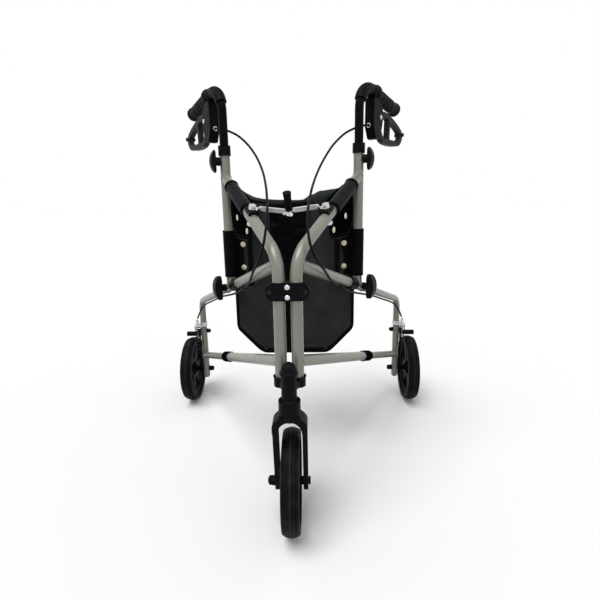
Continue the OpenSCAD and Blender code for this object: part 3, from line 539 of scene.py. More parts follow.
def tube_parts(path, radius, sides=10, closed=False):
    """Points and faces of a round tube along a path, turned as little as possible between rings."""
    count = len(path)
    points = []
    across = None
    for i, centre in enumerate(path):
        before = path[i - 1] if closed or i else path[0]
        after = path[(i + 1) % count] if closed or i < count - 1 else path[-1]
        ahead = (after - before).normalized()
        if across is None:
            across = ahead.orthogonal().normalized()
        across = (across - ahead * across.dot(ahead)).normalized()
        other = ahead.cross(across)
        reach = radius(i) if callable(radius) else radius
        points += [centre + reach * (cos(a) * across + sin(a) * other)
                   for a in round_angles(sides)]
    faces = grid_faces(count, sides, wrap=True)
    end = (count - 1) * sides
    if closed:
        faces += [(end + k, end + (k + 1) % sides, (k + 1) % sides, k) for k in range(sides)]
    else:
        faces += [tuple(reversed(range(sides))), tuple(range(end, end + sides))]
    return points, faces


def tubes(name, paths, radius, material, sides=10, closed=False):
    """One piece of round tubes along several paths."""
    points, faces = merged(tube_parts(path, radius, sides, closed) for path in paths)
    return add_mesh(name, points, faces, [material])


def revolve(profile, place, steps=28):
    """Points and faces of a turned form: rows of (radius, height), set by place(x, y, height)."""
    points = [place(radius * cos(a), radius * sin(a), height)
              for radius, height in profile for a in round_angles(steps)]
    return points, grid_faces(len(profile), steps, wrap=True)


def join_points(piece, distance=2e-6):
    """Merges points that fall together, such as those at a pole."""
    shape = bmesh.new()
    shape.from_mesh(piece.data)
    bmesh.ops.remove_doubles(shape, verts=shape.verts, dist=distance)
    bmesh.ops.recalc_face_normals(shape, faces=shape.faces)
    shape.to_mesh(piece.data)
    shape.free()
    return piece


def length_of(path):
    return sum((b - a).length for a, b in zip(path, path[1:]))


def along(path, step):
    """Points on a path, one step apart, each with its direction."""
    made, left = [], 0.0
    for a, b in zip(path, path[1:]):
        run = (b - a).length
        while left < run:
            made.append((a.lerp(b, left / run), (b - a).normalized()))
            left += step
        left -= run
    return made


def stitches(name, paths, length=0.0028, pitch=0.0042, radius=0.0004):
    """Sewing stitches as short raised dashes along paths on the cloth."""
    dashes = [[p, p + d * length] for path in paths for p, d in along(path, pitch)]
    return tubes(name, dashes, radius, "thread", 5)


def fold(x, y, z, size):
    """Soft cloth noise from -1 to 1."""
    return noise.noise(Vector((x, y, z)) / size)


def ease(t):
    """Smooth step from 0 to 1."""
    t = min(max(t, 0.0), 1.0)
    return t * t * (3 - 2 * t)


def through(x, table):
    """Smooth value through a table of (x, value)."""
    if x <= table[0][0]:
        return table[0][1]
    for (x0, v0), (x1, v1) in zip(table, table[1:]):
        if x <= x1:
            return v0 + (v1 - v0) * ease((x - x0) / (x1 - x0))
    return table[-1][1]


# Bag

CLOTH_T, STRIP_T, PAD_T, WRAP_T = 0.0012, 0.0009, 0.0014, 0.0013

# Slack of the bag's sloping edges, rounds of its lower corners and foot, width of the tape round it
BAG_SLACK, BAG_ROUND, FOOT_ROUND, BAG_TAPE = 0.012, 0.026, 0.012, 0.006

# How far the rim stands over the solid, and how it rises to the side frames
RIM_LIFT, RIM_RISE = 0.0006, 92

# How far from its seams a panel is free, and how deep it bows, creases and sags there
FRONT_FREE, FRONT_BOW, FRONT_CREASE, FRONT_SAG = 0.05, 0.007, 0.0035, 0.0024
BACK_FREE, BACK_BOW = 0.06, 0.003

BAG_COLUMNS, BAG_ROWS, GUSSET_STEPS = 73, 64, 12
GUSSET_PULL, GUSSET_Z = 0.008, 0.42
PIPING_R, RIM_R = 0.0023, 0.0021


def bag_rim(x):
    """Height of the bag's rim, which hangs between the side frames."""
    return BAG_TOP + RIM_LIFT + RIM_RISE * x ** 4


def bag_floor(x):
    """Height of the bag's lower edge: level, then a slope up to a rounded corner."""
    foot = BAG_FOOT_HALF + BAG_SLACK
    over = abs(x) - foot
    if over < -FOOT_ROUND:
        return BAG_LOW
    if over < FOOT_ROUND:
        return BAG_LOW + BAG_SLOPE * (over + FOOT_ROUND) ** 2 / (4 * FOOT_ROUND)
    round_x = BAG_HALF - BAG_ROUND
    if abs(x) - round_x < BAG_ROUND * sin(BAG_TILT):
        return BAG_LOW + BAG_SLOPE * over
    round_z = BAG_LOW + BAG_SLOPE * (round_x - foot) + BAG_ROUND / cos(BAG_TILT)
    return round_z - sqrt(max(BAG_ROUND ** 2 - (abs(x) - round_x) ** 2, 0))


def bag_front(x, z):
    """Depth of the front panel: it bows out between its seams and creases under the rim."""
    low, high = bag_floor(x), bag_rim(x)
    up = (z - low) / max(high - low, 1e-6)
    free = ease(min(BAG_HALF - abs(x), (z - low) * 0.9) / FRONT_FREE)
    bow = FRONT_BOW * free * (0.6 + 0.4 * sin(pi * up))
    crease = FRONT_CREASE * free * fold(x * 1.6, 0.3, z * 0.5, 0.055)
    ripple = sin(x / 0.019 + 2.2 * fold(x, 1.7, z, 0.08))
    sag = FRONT_SAG * ease((up - 0.62) / 0.3) * free * ripple
    return BAG_FRONT + 0.0012 - bow - crease - sag


def bag_back(x, z):
    """Depth of the back panel, which bows out a little between its seams."""
    low, high = bag_floor(x), bag_rim(x)
    free = ease(min(BAG_HALF - abs(x), (z - low) * 0.9, (high - z) * 0.9 + 0.01) / BACK_FREE)
    return BAG_FRONT + BAG_DEPTH - BACK_BOW + BACK_BOW * free * (0.7 + 0.9 * fold(x, 4.1, z, 0.06))


def bag_panel(surface):
    """Points of a panel in rows from the rim down, closer together towards the sides."""
    points = []
    for r in range(BAG_ROWS):
        for t in spread(-1, 1, BAG_COLUMNS - 1):
            x = BAG_HALF * (0.25 * t + 0.75 * sin(pi / 2 * t))
            z = bag_rim(x) + (bag_floor(x) - bag_rim(x)) * r / (BAG_ROWS - 1)
            points.append(Vector((x, surface(x, z), z)))
    return points


def build_bag_shell():
    """Two panels and the gusset between them, with piping on both seams and a bound rim."""
    columns, rows = BAG_COLUMNS, BAG_ROWS
    front_faces = grid_faces(rows, columns)
    back_faces = [face[::-1] for face in front_faces]
    points, faces = merged([(bag_panel(bag_front), front_faces), (bag_panel(bag_back), back_faces)])

    def taped(face):
        x, _, z = sum((points[i] for i in face), Vector()) / len(face)
        over_floor = (z - bag_floor(x)) * cos(BAG_TILT)
        return min(BAG_HALF - abs(x), over_floor) < BAG_TAPE

    materials = [int(taped(face)) for face in faces]
    panel = rows * columns
    edge = [*range(0, panel, columns), *range(panel - columns + 1, panel),
            *range(panel - columns - 1, 0, -columns)]
    strips = [edge]
    for t in spread(0, 1, GUSSET_STEPS)[1:-1]:
        strip = []
        for k, index in enumerate(edge):
            near, far = points[index], points[index + panel]
            inward = Vector((-near.x, 0, GUSSET_Z - near.z)).normalized()
            pull = GUSSET_PULL * sin(pi * t) * (1 + 0.6 * fold(k * 0.012, t, 2.3, 0.07))
            strip.append(len(points))
            points.append(near.lerp(far, t) + inward * pull)
        strips.append(strip)
    strips.append([index + panel for index in edge])
    for near, far in zip(strips, strips[1:]):
        for k in range(len(edge) - 1):
            faces.append((near[k], near[k + 1], far[k + 1], far[k]))
            materials.append(1)
    seams = [[points[i] for i in strip] for strip in (strips[0], strips[-1])]
    rim = [*range(columns), *(strip[-1] for strip in strips[1:-1]),
           *reversed(range(panel, panel + columns)), *(strip[0] for strip in strips[-2:0:-1])]
    shell = add_mesh("bag_shell", points, faces, ["bag_cloth", "vinyl"], materials)
    thicken(shell, CLOTH_T, offset=-1.0)
    piping = tubes("bag_piping", seams, PIPING_R, "piping")
    rim_path = [points[i] for i in rim]
    binding = tubes("bag_rim_binding", [rim_path], RIM_R, "piping", closed=True)
    return shell, piping, binding


# Band down the middle of the front: it widens over a run from a height, and crumples further up
BAND_X, BAND_HALF, BAND_WIDENS, BAND_CRUMPLE = -0.008, 0.021, 0.0245, 0.010
WIDE_FROM, WIDE_RUN = 0.46, 0.11
CRUMPLE_FROM, CRUMPLE_RUN = 0.5, 0.05

# Strips beside it: inner and outer side, lower end, and how far inside the sides they are sewn
STRIP_IN, STRIP_OUT, STRIP_LOW, STRIP_SEAM = 0.095, 0.107, 0.43, 0.0022

# Stitching of the front panel: inside its sides, ends below the rim
SIDE_SEAM, SEAM_END = 0.008, 0.004


def band_span(z):
    half = BAND_HALF + BAND_WIDENS * ease((z - WIDE_FROM) / WIDE_RUN)
    return BAND_X - half, BAND_X + half


def strip_on_front(name, span, z_low, crumple, look):
    """A sewn strip on the front panel, whose sides at a height are given by span(z)."""
    steps, across = 72, 14
    lines = []
    for k in range(steps + 1):
        left, right = span(z_low + (BAG_TOP - z_low) * k / steps)
        line = []
        for x in spread(left, right, across):
            z = z_low + (bag_rim(x) - 0.001 - z_low) * k / steps
            rising = ease((z - CRUMPLE_FROM) / CRUMPLE_RUN)
            wrinkle = crumple * rising * fold(x * 0.7, 9.1, z * 1.5, 0.021)
            line.append(Vector((x, bag_front(x, z) - 0.0016 - abs(wrinkle), z)))
        lines.append(line)
    return sheet_mesh(name, lines, [look], STRIP_T)


def front_seam(x, z_low, proud):
    """Line for stitching up the front panel."""
    heights = spread(z_low, bag_rim(x) - SEAM_END, 90)
    return [Vector((x, bag_front(x, z) - proud, z)) for z in heights]


def build_bag():
    """The bag's shell with the band, strips and stitching on its front."""
    shell, piping, binding = build_bag_shell()
    strips = [strip_on_front("bag_centre_band", band_span, BAG_LOW + 0.003, BAND_CRUMPLE,
                             "gloss_vinyl")]
    sewn = []
    for name, side in SIDES:
        span = sorted((side * STRIP_IN, side * STRIP_OUT))
        strips.append(strip_on_front(f"bag_{name}_strip", lambda z, span=span: span, STRIP_LOW, 0.0,
                                     "vinyl"))
        for x in (STRIP_IN + STRIP_SEAM, STRIP_OUT - STRIP_SEAM):
            sewn.append(front_seam(side * x, STRIP_LOW + 0.002, proud=0.0023))
    for _, side in SIDES:
        sewn.append(front_seam(side * (BAG_HALF - SIDE_SEAM), BAG_CORNER, proud=0.0004))
    sewing = stitches("bag_stitching", sewn)
    pieces = [shell, piping, binding, *strips, sewing]
    for piece in pieces:
        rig.ride(piece, "column")
        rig.slot(piece, "bag_cloth" if piece in (shell, sewing) else "vinyl")
    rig.replaces(shell, "bag_body")
    return pieces


# Height of the lid's crown across the bag
LID_TOP = [(-0.14, 0.655), (-0.118, 0.641), (-0.094, 0.6304), (-0.074, 0.6278), (-0.036, 0.6247),
           (0.003, 0.6231), (0.02, 0.6247), (0.043, 0.6362), (0.065, 0.6446), (0.093, 0.6482),
           (0.12, 0.6525), (0.14, 0.658)]
LID_HALF, LID_OVER_RIM, LID_TURN_DOWN, LID_HEM_R = 0.139, 0.0025, 0.013, 0.0016


def build_lid():
    """Top cover: a slack sheet between the sides of the bag, with a turned down front edge."""
    rows, turned = 29, 4
    front, back = BAG_FRONT - 0.002, BAG_FRONT + BAG_DEPTH - 0.001
    lines = []
    for r in range(rows):
        line = []
        for x in (LID_HALF * t for t in spread(-1, 1, 60)):
            rim = bag_rim(x) + LID_OVER_RIM
            high = max(through(x, LID_TOP), rim)
            if r < turned:
                y, z = front - 0.0012, rim - LID_TURN_DOWN * (turned - r) / turned + 0.002
            else:
                t = (r - turned) / (rows - 1 - turned)
                y = front + (back - front) * t
                crown = sin(pi * (0.12 + 0.8 * t)) ** 0.6
                z = rim + (high - rim) * crown + 0.001 * fold(x, y, 5.2, 0.03) + 0.001 * ease(t * 8)
            line.append(Vector((x, y, z)))
        lines.append(line)
    lid = sheet_mesh("bag_lid_cover", lines, ["lid_cloth"], CLOTH_T)
    hems = [[line[0] for line in lines], [line[-1] for line in lines], lines[0], lines[-1]]
    hem = tubes("bag_lid_hem", hems, LID_HEM_R, "piping", 8)
    for piece in (lid, hem):
        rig.ride(piece, "bag_lid")
        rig.slot(piece, "bag_cloth")
    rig.replaces(lid, "bag_lid")
    return lid, hem


# Sleeve round the upper rail, and the flap that hangs from it: ends along the frame, lower edge
SLEEVE_FROM, SLEEVE_TO = 0.150, 0.250
SLEEVE_LEN = (SLEEVE_TO - SLEEVE_FROM) / cos(TOP_SLOPE)
SLEEVE_R, SLEEVE_PUFF, SLEEVE_TAPE, BINDING_R = 0.0136, 0.0007, 0.007, 0.0019
HANG_FROM, HANG_TO, HANG_DROP = 0.156, 0.248, 0.0150
FLAP_FROM, FLAP_TO, FLAP_LEVEL = 0.140, 0.255, 0.551
FRONT_ROUND, BACK_ROUND = 0.018, 0.042
SEAM_FROM, SEAM_TO, SEAM_UP = 0.148, 0.246, 0.006


def on_rail(side, t, n, b):
    """A point of a rail sleeve: t along the rail, n outward, b square to the rail and down."""
    u = SLEEVE_FROM + t * cos(TOP_SLOPE) + b * sin(TOP_SLOPE)
    z = top_z(SLEEVE_FROM) + t * sin(TOP_SLOPE) - b * cos(TOP_SLOPE)
    return on_side(side, u, n, z)


def flap_low(u):
    """Lower edge of a rail flap: level, with a small round in front and a large one behind."""
    for near, radius in ((u - FLAP_FROM, FRONT_ROUND), (FLAP_TO - u, BACK_ROUND)):
        if near < radius:
            drop = sqrt(max(radius ** 2 - (radius - max(near, 0.0)) ** 2, 0.0))
            return FLAP_LEVEL + radius - drop
    return FLAP_LEVEL


def build_rail_sleeve(name, side):
    """Padded wrap round the upper rail, whose two ends hang down as a studded flap."""
    hanging = 12
    angles = [radians(a) for a in spread(66, -246, 26)]
    stations = sorted({*spread(0, SLEEVE_LEN, 48), SLEEVE_TAPE, SLEEVE_LEN - SLEEVE_TAPE})
    lines, outer = [], []
    for t in stations:
        puff = SLEEVE_R + SLEEVE_PUFF * fold(t, side, 3.3, 0.02)
        hem = [on_rail(side, t, puff * cos(a), puff * sin(a)) for a in angles]
        share = t / SLEEVE_LEN
        top_u = HANG_FROM + (HANG_TO - HANG_FROM) * share
        low_u = FLAP_FROM + (FLAP_TO - FLAP_FROM) * share
        top, low = top_z(top_u) - HANG_DROP, flap_low(low_u)
        outside, inside = [], []
        for s in spread(1, 0, hanging - 1):
            u = top_u + (low_u - top_u) * min(1.6 * s, 1.0)
            n = 0.0009 + 0.0014 * sin(pi * (1 - s) * 0.5) ** 3
            z = top + (low - top) * s
            outside.append(on_side(side, u, n, z))
            inside.append(on_side(side, u, -n, z))
        lines.append([*outside, *hem, *reversed(inside)])
        outer.append(on_side(side, low_u, 0.0, low))
    count = len(lines[0])
    kinds = []
    for a, b in zip(stations, stations[1:]):
        taped = not SLEEVE_TAPE <= (a + b) / 2 <= SLEEVE_LEN - SLEEVE_TAPE
        kinds += [int(taped or not hanging <= c < count - hanging - 1) for c in range(count - 1)]
    wrap = sheet_mesh(f"{name}_rail_sleeve", lines, ["sleeve", "flap_vinyl"], PAD_T, kinds)
    first, last = lines[0], lines[-1]
    edges = [first[hanging:-hanging], last[hanging:-hanging],
             [*first[hanging - 1:0:-1], *outer, *last[1:hanging]]]
    binding = tubes(f"{name}_sleeve_binding", edges, BINDING_R, "piping", 8)
    seam_us = spread(SEAM_FROM, SEAM_TO, 60)
    seams = [[on_side(side, u, n, flap_low(u) + SEAM_UP) for u in seam_us]
             for n in (0.0018, -0.0018)]
    sewing = stitches(f"{name}_sleeve_stitching", seams)
    return wrap, [binding, sewing], (SLEEVE_LEN, length_of(lines[len(lines) // 2]))


def build_side_flap(name, side):
    """Wrap round the upright that holds the bag: its two layers meet at a studded inner edge."""
    low, high = 0.456, 0.560
    reach, radius, back = 0.037, 0.0134, 0.0126
    knee = Vector((-0.0205, back - 0.0009))
    first = atan2(knee.y, knee.x) + acos(radius / knee.length)
    turn = (radians(90) - first) % (2 * pi)

    def inner_edge(t):
        return reach - 0.004 * (2 * t - 1) ** 2 - 0.004 * ease((t - 0.8) / 0.2)

    def on_round(angle):
        return radius * Vector((cos(angle), sin(angle)))

    lines, edge = [], []
    for z in spread(low, high, 26):
        w = inner_edge((z - low) / (high - low))
        front_tip, back_tip = Vector((-w, knee.y)), Vector((-w, back + 0.0007))
        path = [front_tip.lerp(knee, s / 4) for s in range(4)]
        path += [knee.lerp(on_round(first), s / 5) for s in range(5)]
        path += [on_round(first + turn * s / 24) for s in range(25)]
        path += [path[-1].lerp(back_tip, s / 8) for s in range(1, 9)]
        lines.append([Vector((side * (UPRIGHT.x + p.x), UPRIGHT.y + p.y, z)) for p in path])
        edge.append(Vector((side * (UPRIGHT.x - w), UPRIGHT.y + back, z)))
    wrap = sheet_mesh(f"{name}_side_flap", lines, ["vinyl"], WRAP_T)
    binding = tubes(f"{name}_side_flap_binding", [lines[0], lines[-1], edge], 0.0013, "piping", 8)
    to_seam = Vector((side * 0.006, -0.0016, 0))
    sewing = stitches(f"{name}_side_flap_stitching", [[p + to_seam for p in edge[1:-1]]])
    return wrap, [binding, sewing], (length_of(lines[len(lines) // 2]), high - low)


# Where the cloth of each side bends down on the bag's front: lower and upper end, as (x, z)
WEB_BENDS = {-1: ((0.082, 0.612), (0.1215, 0.655)), 1: ((0.066, 0.613), (0.122, 0.664))}
WEB_N, WEB_B, WEB_HEM_R = -0.0108, -0.0082, 0.0012


def build_web(name, side):
    """Cloth from the inside of the rail sleeve to the bag, sewn down on its upper front corner."""
    rows, bridge, patch = 16, 14, 6
    lines = []
    for share in spread(0, 1, rows):
        held = on_rail(side, SLEEVE_LEN * share, WEB_N, WEB_B)
        x, z = (a + (b - a) * share for a, b in zip(*WEB_BENDS[side]))
        bent = Vector((side * x, BAG_FRONT - 0.0056, z + 0.004 * sin(pi * share)))
        line = []
        for s in range(bridge):
            t = s / bridge
            slack = sin(pi * t) * (0.005 + 0.003 * fold(share, side, t, 0.3))
            line.append(held.lerp(bent, t) - Vector((0, 0, slack)))
        reach = 0.034 - 0.020 * share
        for s in range(patch + 1):
            run = reach * s / patch
            x_here = min(abs(bent.x) + 0.8 * run, BAG_HALF - 0.002)
            line.append(Vector((side * x_here, bent.y + 0.0012 * ease(s / patch), bent.z - run)))
        lines.append(line)
    web = sheet_mesh(f"{name}_bag_web", lines, ["flap_vinyl"], CLOTH_T)
    hems = [line[:bridge + 1] for line in (lines[0], lines[-1])]
    hem = tubes(f"{name}_bag_web_hem", hems, WEB_HEM_R, "piping", 8)
    return web, [hem], (length_of([line[bridge] for line in lines]), length_of(lines[rows // 2]))


STUD = [(0, 0.0024), (0.0024, 0.0023), (0.0041, 0.0018), (0.0048, 0.0013), (0.0054, 0.0016),
        (0.0061, 0.0014), (0.0064, 0.0008), (0.0064, -0.0004), (0, -0.0004)]
RAIL_STUDS, RAIL_STUD_N = ((0.213, 0.5937), (0.153, 0.5692)), 0.0016
SIDE_STUDS_Z, SIDE_STUD_X, SIDE_STUD_BACK = (0.528, 0.474), 0.1175, 0.0112


def build_studs(name, side):
    """Press studs of the rail flap and the side flap."""
    places = [lambda x, y, h, u=u, z=z: on_side(side, u + x, RAIL_STUD_N + h, z + y)
              for u, z in RAIL_STUDS]
    face_y = UPRIGHT.y + SIDE_STUD_BACK
    places += [lambda x, y, h, z=z: Vector((side * (SIDE_STUD_X + x), face_y - h, z + y))
               for z in SIDE_STUDS_Z]
    points, faces = merged(revolve(STUD, place) for place in places)
    piece = join_points(add_mesh(f"{name}_press_studs", points, faces, ["snap_metal"]))
    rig.slot(piece, slot_of[f"{name}_snaps"])
    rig.replaces(piece, f"{name}_snaps")
    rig.ride(piece, f"{name}_frame")


# Fold links: seat of the bolt on the rail, length between the holes, thickness, heights of the eyes
# and of the straps' lower edges over the seats
LINK_U, LINK_SEAT, LINK_LEN, LINK_T = 0.130, 0.0164, 0.07335, 0.0025
LINK_REST = radians(17)
LINK_EYE, LINK_EDGE = {-1: -0.0037, 1: 0.0037}, {-1: -0.0022, 1: 0.0003}
TAB_HALF, STRAP_HALF, EYE_R, CHAMFER = 0.0066, 0.0049, 0.0072, 0.0004
LINK_BOLT_R, LINK_PIN_R = 0.0044, 0.0010
TWIST_FROM, TWIST_TO, STRAP_TO = 0.0070, 0.0185, LINK_LEN - 0.0092
LINK_SECTION = [(-1, -1), (-0.9, -1), (0.9, -1), (1, -1), (1, 1), (0.9, 1), (-0.9, 1), (-1, 1)]
BOX_FACES = [(0, 1, 3, 2), (4, 6, 7, 5), (0, 4, 5, 1), (2, 3, 7, 6), (0, 2, 6, 4), (1, 5, 7, 3)]


def build_link(name, side):
    """Steel strap: a flat tab under the bolt's head, twisted on edge, and an eye below the knob."""
    seat = (Matrix.Translation((COLUMN_X, COLUMN_Y, 0)) @ Matrix.Rotation(-FRAME_ANGLE, 4, "Z")
            @ Matrix.Translation((0, LINK_U, top_z(LINK_U))) @ Matrix.Rotation(TOP_SLOPE, 4, "X")
            @ Matrix.Translation((0, 0, LINK_SEAT)) @ Matrix.Rotation(pi + LINK_REST, 4, "Z"))

    def place(x, y, z):
        p = seat @ Vector((x, y, z))
        return Vector((side * p.x, p.y, p.z))

    tab_low, eye_low = 0.0001, LINK_EYE[side]
    stations = [*spread(TWIST_FROM, TWIST_TO, 14), 0.030, 0.045, STRAP_TO]
    strap = []
    for x in stations:
        turned = ease((x - TWIST_FROM) / (TWIST_TO - TWIST_FROM))
        angle = pi / 2 * turned
        half = TAB_HALF + (STRAP_HALF - TAB_HALF) * turned
        floor_z = tab_low + (LINK_EDGE[side] - tab_low) * turned
        middle = floor_z + half * sin(angle) + LINK_T / 2 * cos(angle)
        for a, b in LINK_SECTION:
            across, up = a * half, b * (LINK_T / 2 - (CHAMFER if abs(a) == 1 else 0.0))
            strap.append(place(x, across * cos(angle) - up * sin(angle),
                               middle + across * sin(angle) + up * cos(angle)))
    count = len(LINK_SECTION)
    ends = [tuple(reversed(range(count))), tuple(range(len(strap) - count, len(strap)))]
    parts = [(strap, grid_faces(len(stations), count, wrap=True) + ends)]
    for at, low, bore in ((0.0, 0.0, LINK_BOLT_R), (LINK_LEN, eye_low, LINK_PIN_R)):
        high, inner = low + LINK_T, EYE_R - CHAMFER
        ring = [(bore, low), (inner, low), (EYE_R, low + CHAMFER),
                (EYE_R, high - CHAMFER), (inner, high), (bore, high), (bore, low)]
        parts.append(revolve(ring, lambda x, y, z, at=at: place(at + x, y, z)))
    neck = [place(x, y, z) for x in (STRAP_TO - 0.004, LINK_LEN - 0.005) for y in (-0.0035, 0.0035)
            for z in (eye_low + 0.0001, eye_low + LINK_T - 0.0001)]
    parts.append((neck, BOX_FACES))
    piece = join_points(add_mesh(f"{name}_link_strap", *merged(parts), ["zinc"]))
    for polygon in piece.data.polygons:
        polygon.use_smooth = False
    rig.slot(piece, slot_of[f"{name}_link"])
    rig.replaces(piece, f"{name}_link")
    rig.ride(piece, f"{name}_link_arm")


# Cables and springs

# Route of the right cable in the part's source, in millimetres, and the point that lies in the clip
RIGHT_ROUTE = [(175, 23, 786), (166, 10, 785), (152, 2, 782), (135, -1, 776), (115, -5, 765),
               (92, -17, 743), (74, -34, 717), (58, -78, 687), (46, -140, 656), (39, -195, 627),
               (36, -236, 602), (37, -262, 577), (41, -270, 554), (50, -258, 530), (66, -226, 502),
               (80, -182, 475), (94, -134, 455), (108, -98, 442), (134, -45, 420), (158, 2, 405),
               (190, 62, 387), (234, 151, 355), (270, 222, 329), (292, 250, 310), (305, 259, 288),
               (312, 260, 272)]
CLIP_AT = 17
CABLE_R, CLIP_R, WIRE_R = 0.0024, 0.0037, 0.0008
WIRE_BELOW, WIRE_ABOVE = 0.006, 0.014


def build_cable(name, side):
    """Brake cable in two runs that meet in a clip on the mid rail, and the spring's inner wire."""
    route = [Vector((side * x, y, z)) / 1000 for x, y, z in RIGHT_ROUTE]
    steps = 6
    path = smooth_path(route, steps)
    split = CLIP_AT * steps
    runs = (("upper", path[:split + 1], f"{name}_handle", f"{name}_frame", 0, 11),
            ("lower", path[split:], f"{name}_frame", f"{name}_leg", 19, 24))
    for kind, run, body_a, body_b, first, last in runs:
        cable = tubes(f"{name}_cable_{kind}", [run], CABLE_R, "cable", 12)
        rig.slot(cable, "cable")
        if kind == "upper":
            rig.replaces(cable, f"{name}_brake_cable")
        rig.cord(cable, exit=run[0], length=length_of(run), diameter=2 * CABLE_R, far_end="object",
                stiffness="stiff", lay="hanging", path=run)
        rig.blend(cable, body_a, body_b, start=route[first], end=route[last])
    clip = tubes(f"{name}_cable_clip", [path[split - 3:split + 4]], CLIP_R, "black_plastic", 16)
    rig.ride(clip, f"{name}_frame")
    low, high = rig.box(f"{name}_brake_spring")
    middle = (low + high) / 2
    wire_path = [Vector((middle.x, middle.y, z)) for z in (low.z - WIRE_BELOW, high.z + WIRE_ABOVE)]
    wire = tubes(f"{name}_brake_wire", [wire_path], WIRE_R, "steel", 8)
    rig.ride(wire, f"{name}_leg")


# Spring, with the reach of the brake arm from its pivot to the wire and the arm's turn
SPRING_CURLS, SPRING_WIRE = 10, 0.0022
SPRING_R_LOW, SPRING_R_HIGH = 0.0072, 0.0088
SPRING_REACH, BRAKE_TURN = 0.022, radians(13)


def build_spring(name):
    """Conical brake spring, which shortens as the brake arm lifts its foot."""
    node = f"{name}_brake_spring"
    low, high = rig.box(node)
    middle = (low + high) / 2
    steps = 16
    coil = []
    for k in range(SPRING_CURLS * steps + 1):
        share = k / (SPRING_CURLS * steps)
        radius = SPRING_R_LOW + (SPRING_R_HIGH - SPRING_R_LOW) * share
        angle = 2 * pi * k / steps
        z = low.z + SPRING_WIRE / 2 + (high.z - low.z - SPRING_WIRE) * share
        x, y = middle.x + radius * cos(angle), middle.y + radius * sin(angle)
        coil.append(Vector((x, y, z)))
    piece = tubes(f"{name}_spring_coil", [coil], SPRING_WIRE / 2, slot_of[node], 10)
    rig.slot(piece, slot_of[node])
    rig.ride(piece, f"{name}_leg")
    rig.replaces(piece, node)
    lift = (SPRING_REACH + SPRING_R_LOW) * sin(BRAKE_TURN)
    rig.squash(piece, f"{name}_lever_squeeze", axis=(0, 0, 1), anchor=(middle.x, middle.y, high.z),
              keep=1 - lift / (high.z - low.z))


# Welds and mouldings

# Bend of the main tube where the mid rail meets it: its place along the frame, and its lean
BEND_U, BEND_LEAN = 0.0057, radians(25)


def weld(side, foot, axis, through_point, other):
    """Ring where a tube from foot along axis meets another through a point; all are (u, z)."""
    proud = 0.0004
    axis, other = Vector(axis).normalized(), Vector(other).normalized()
    normal, other_normal = Vector((-axis.y, axis.x)), Vector((-other.y, other.x))
    rate = axis.dot(other_normal)
    sign = 1 if rate > 0 else -1
    ring = []
    for angle in round_angles(48):
        n = TUBE_R * cos(angle)
        base = Vector(foot) + normal * TUBE_R * sin(angle)
        target = sqrt(max(TUBE_R ** 2 - n * n, 0.0)) + proud
        current = (base - Vector(through_point)).dot(other_normal)
        place = base + axis * ((sign * target - current) / rate)
        ring.append(on_side(side, place.x, n, place.y))
    return ring


def build_welds(name, side):
    """Weld beads at the joints of the side frame's tubes."""
    forward = (-cos(TOP_SLOPE), -sin(TOP_SLOPE))
    down_rail = (cos(RAIL_SLOPE), -sin(RAIL_SLOPE))
    upward, leaning = (0, 1), (sin(BEND_LEAN), cos(BEND_LEAN))
    bend, crossing = (BEND_U, mid_z(BEND_U)), (UPRIGHT_U, mid_z(UPRIGHT_U))
    rings = [weld(side, (UPRIGHT_U, top_z(UPRIGHT_U)), forward, (UPRIGHT_U, 0), upward),
             weld(side, (0, LOW_FRONT), down_rail, (0, 0), upward),
             weld(side, bend, down_rail, bend, leaning),
             weld(side, crossing, upward, crossing, down_rail)]
    beads = [[p + Vector((0, 0, 0.0002 * sin(k * 1.7))) for k, p in enumerate(ring)]
             for ring in rings]
    piece = tubes(f"{name}_welds", beads, lambda i: 0.0014 + 0.0003 * sin(i * 2.1), "paint", 8,
                  closed=True)
    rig.slot(piece, "paint")
    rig.ride(piece, f"{name}_frame")


def build_hand_rest_ribs(name, side):
    """Raised ribs moulded on the cover of the handle's bend."""
    bend_r, bend_z, cover_r = 0.045, 0.815, 0.0126
    steps = 8
    ribs = []
    for angle in map(radians, spread(36, 88, 8)):
        rib = []
        for spin in map(radians, spread(-52, 52, steps)):
            reach = bend_r + (cover_r - 0.0002) * cos(spin)
            back, out = bend_r - reach * cos(angle), cover_r * sin(spin)
            z = bend_z + reach * sin(angle)
            rib.append(swung(UPRIGHT, HANDLE_ANGLE, side, back, out, z))
        ribs.append(rib)
    piece = tubes(f"{name}_cover_ribs", ribs,
                  lambda i: 0.0007 + 0.0003 * sin(pi * i / steps), "black_plastic", 8)
    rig.slot(piece, "black_plastic")
    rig.ride(piece, f"{name}_handle")


# Profile of the boss: radius, and height over the tube
KNOB_BOSS = [(0.0072, 0.0007), (0.0088, 0.0008), (0.0094, 0.0018), (0.0093, 0.004), (0.009, 0.0062),
             (0.009, 0.0082), (0.0092, 0.01), (0.009, 0.0114), (0.007, 0.012)]
KNOB_Z = 0.712


def build_knob_boss(name, side):
    """Boss on the hub of a height knob, up to the tube."""

    def place(x, y, h):
        return on_side(side, UPRIGHT_U + x, TUBE_R + h, KNOB_Z + y)

    piece = add_mesh(f"{name}_handle_knob_boss", *revolve(KNOB_BOSS, place, 40), ["black_plastic"])
    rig.slot(piece, "black_plastic")
    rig.ride(piece, f"{name}_height_knob")


TYRE_EDGE, TYRE_EDGE_R, TYRE_LINE_R = 0.0162, 0.0945, 0.0005


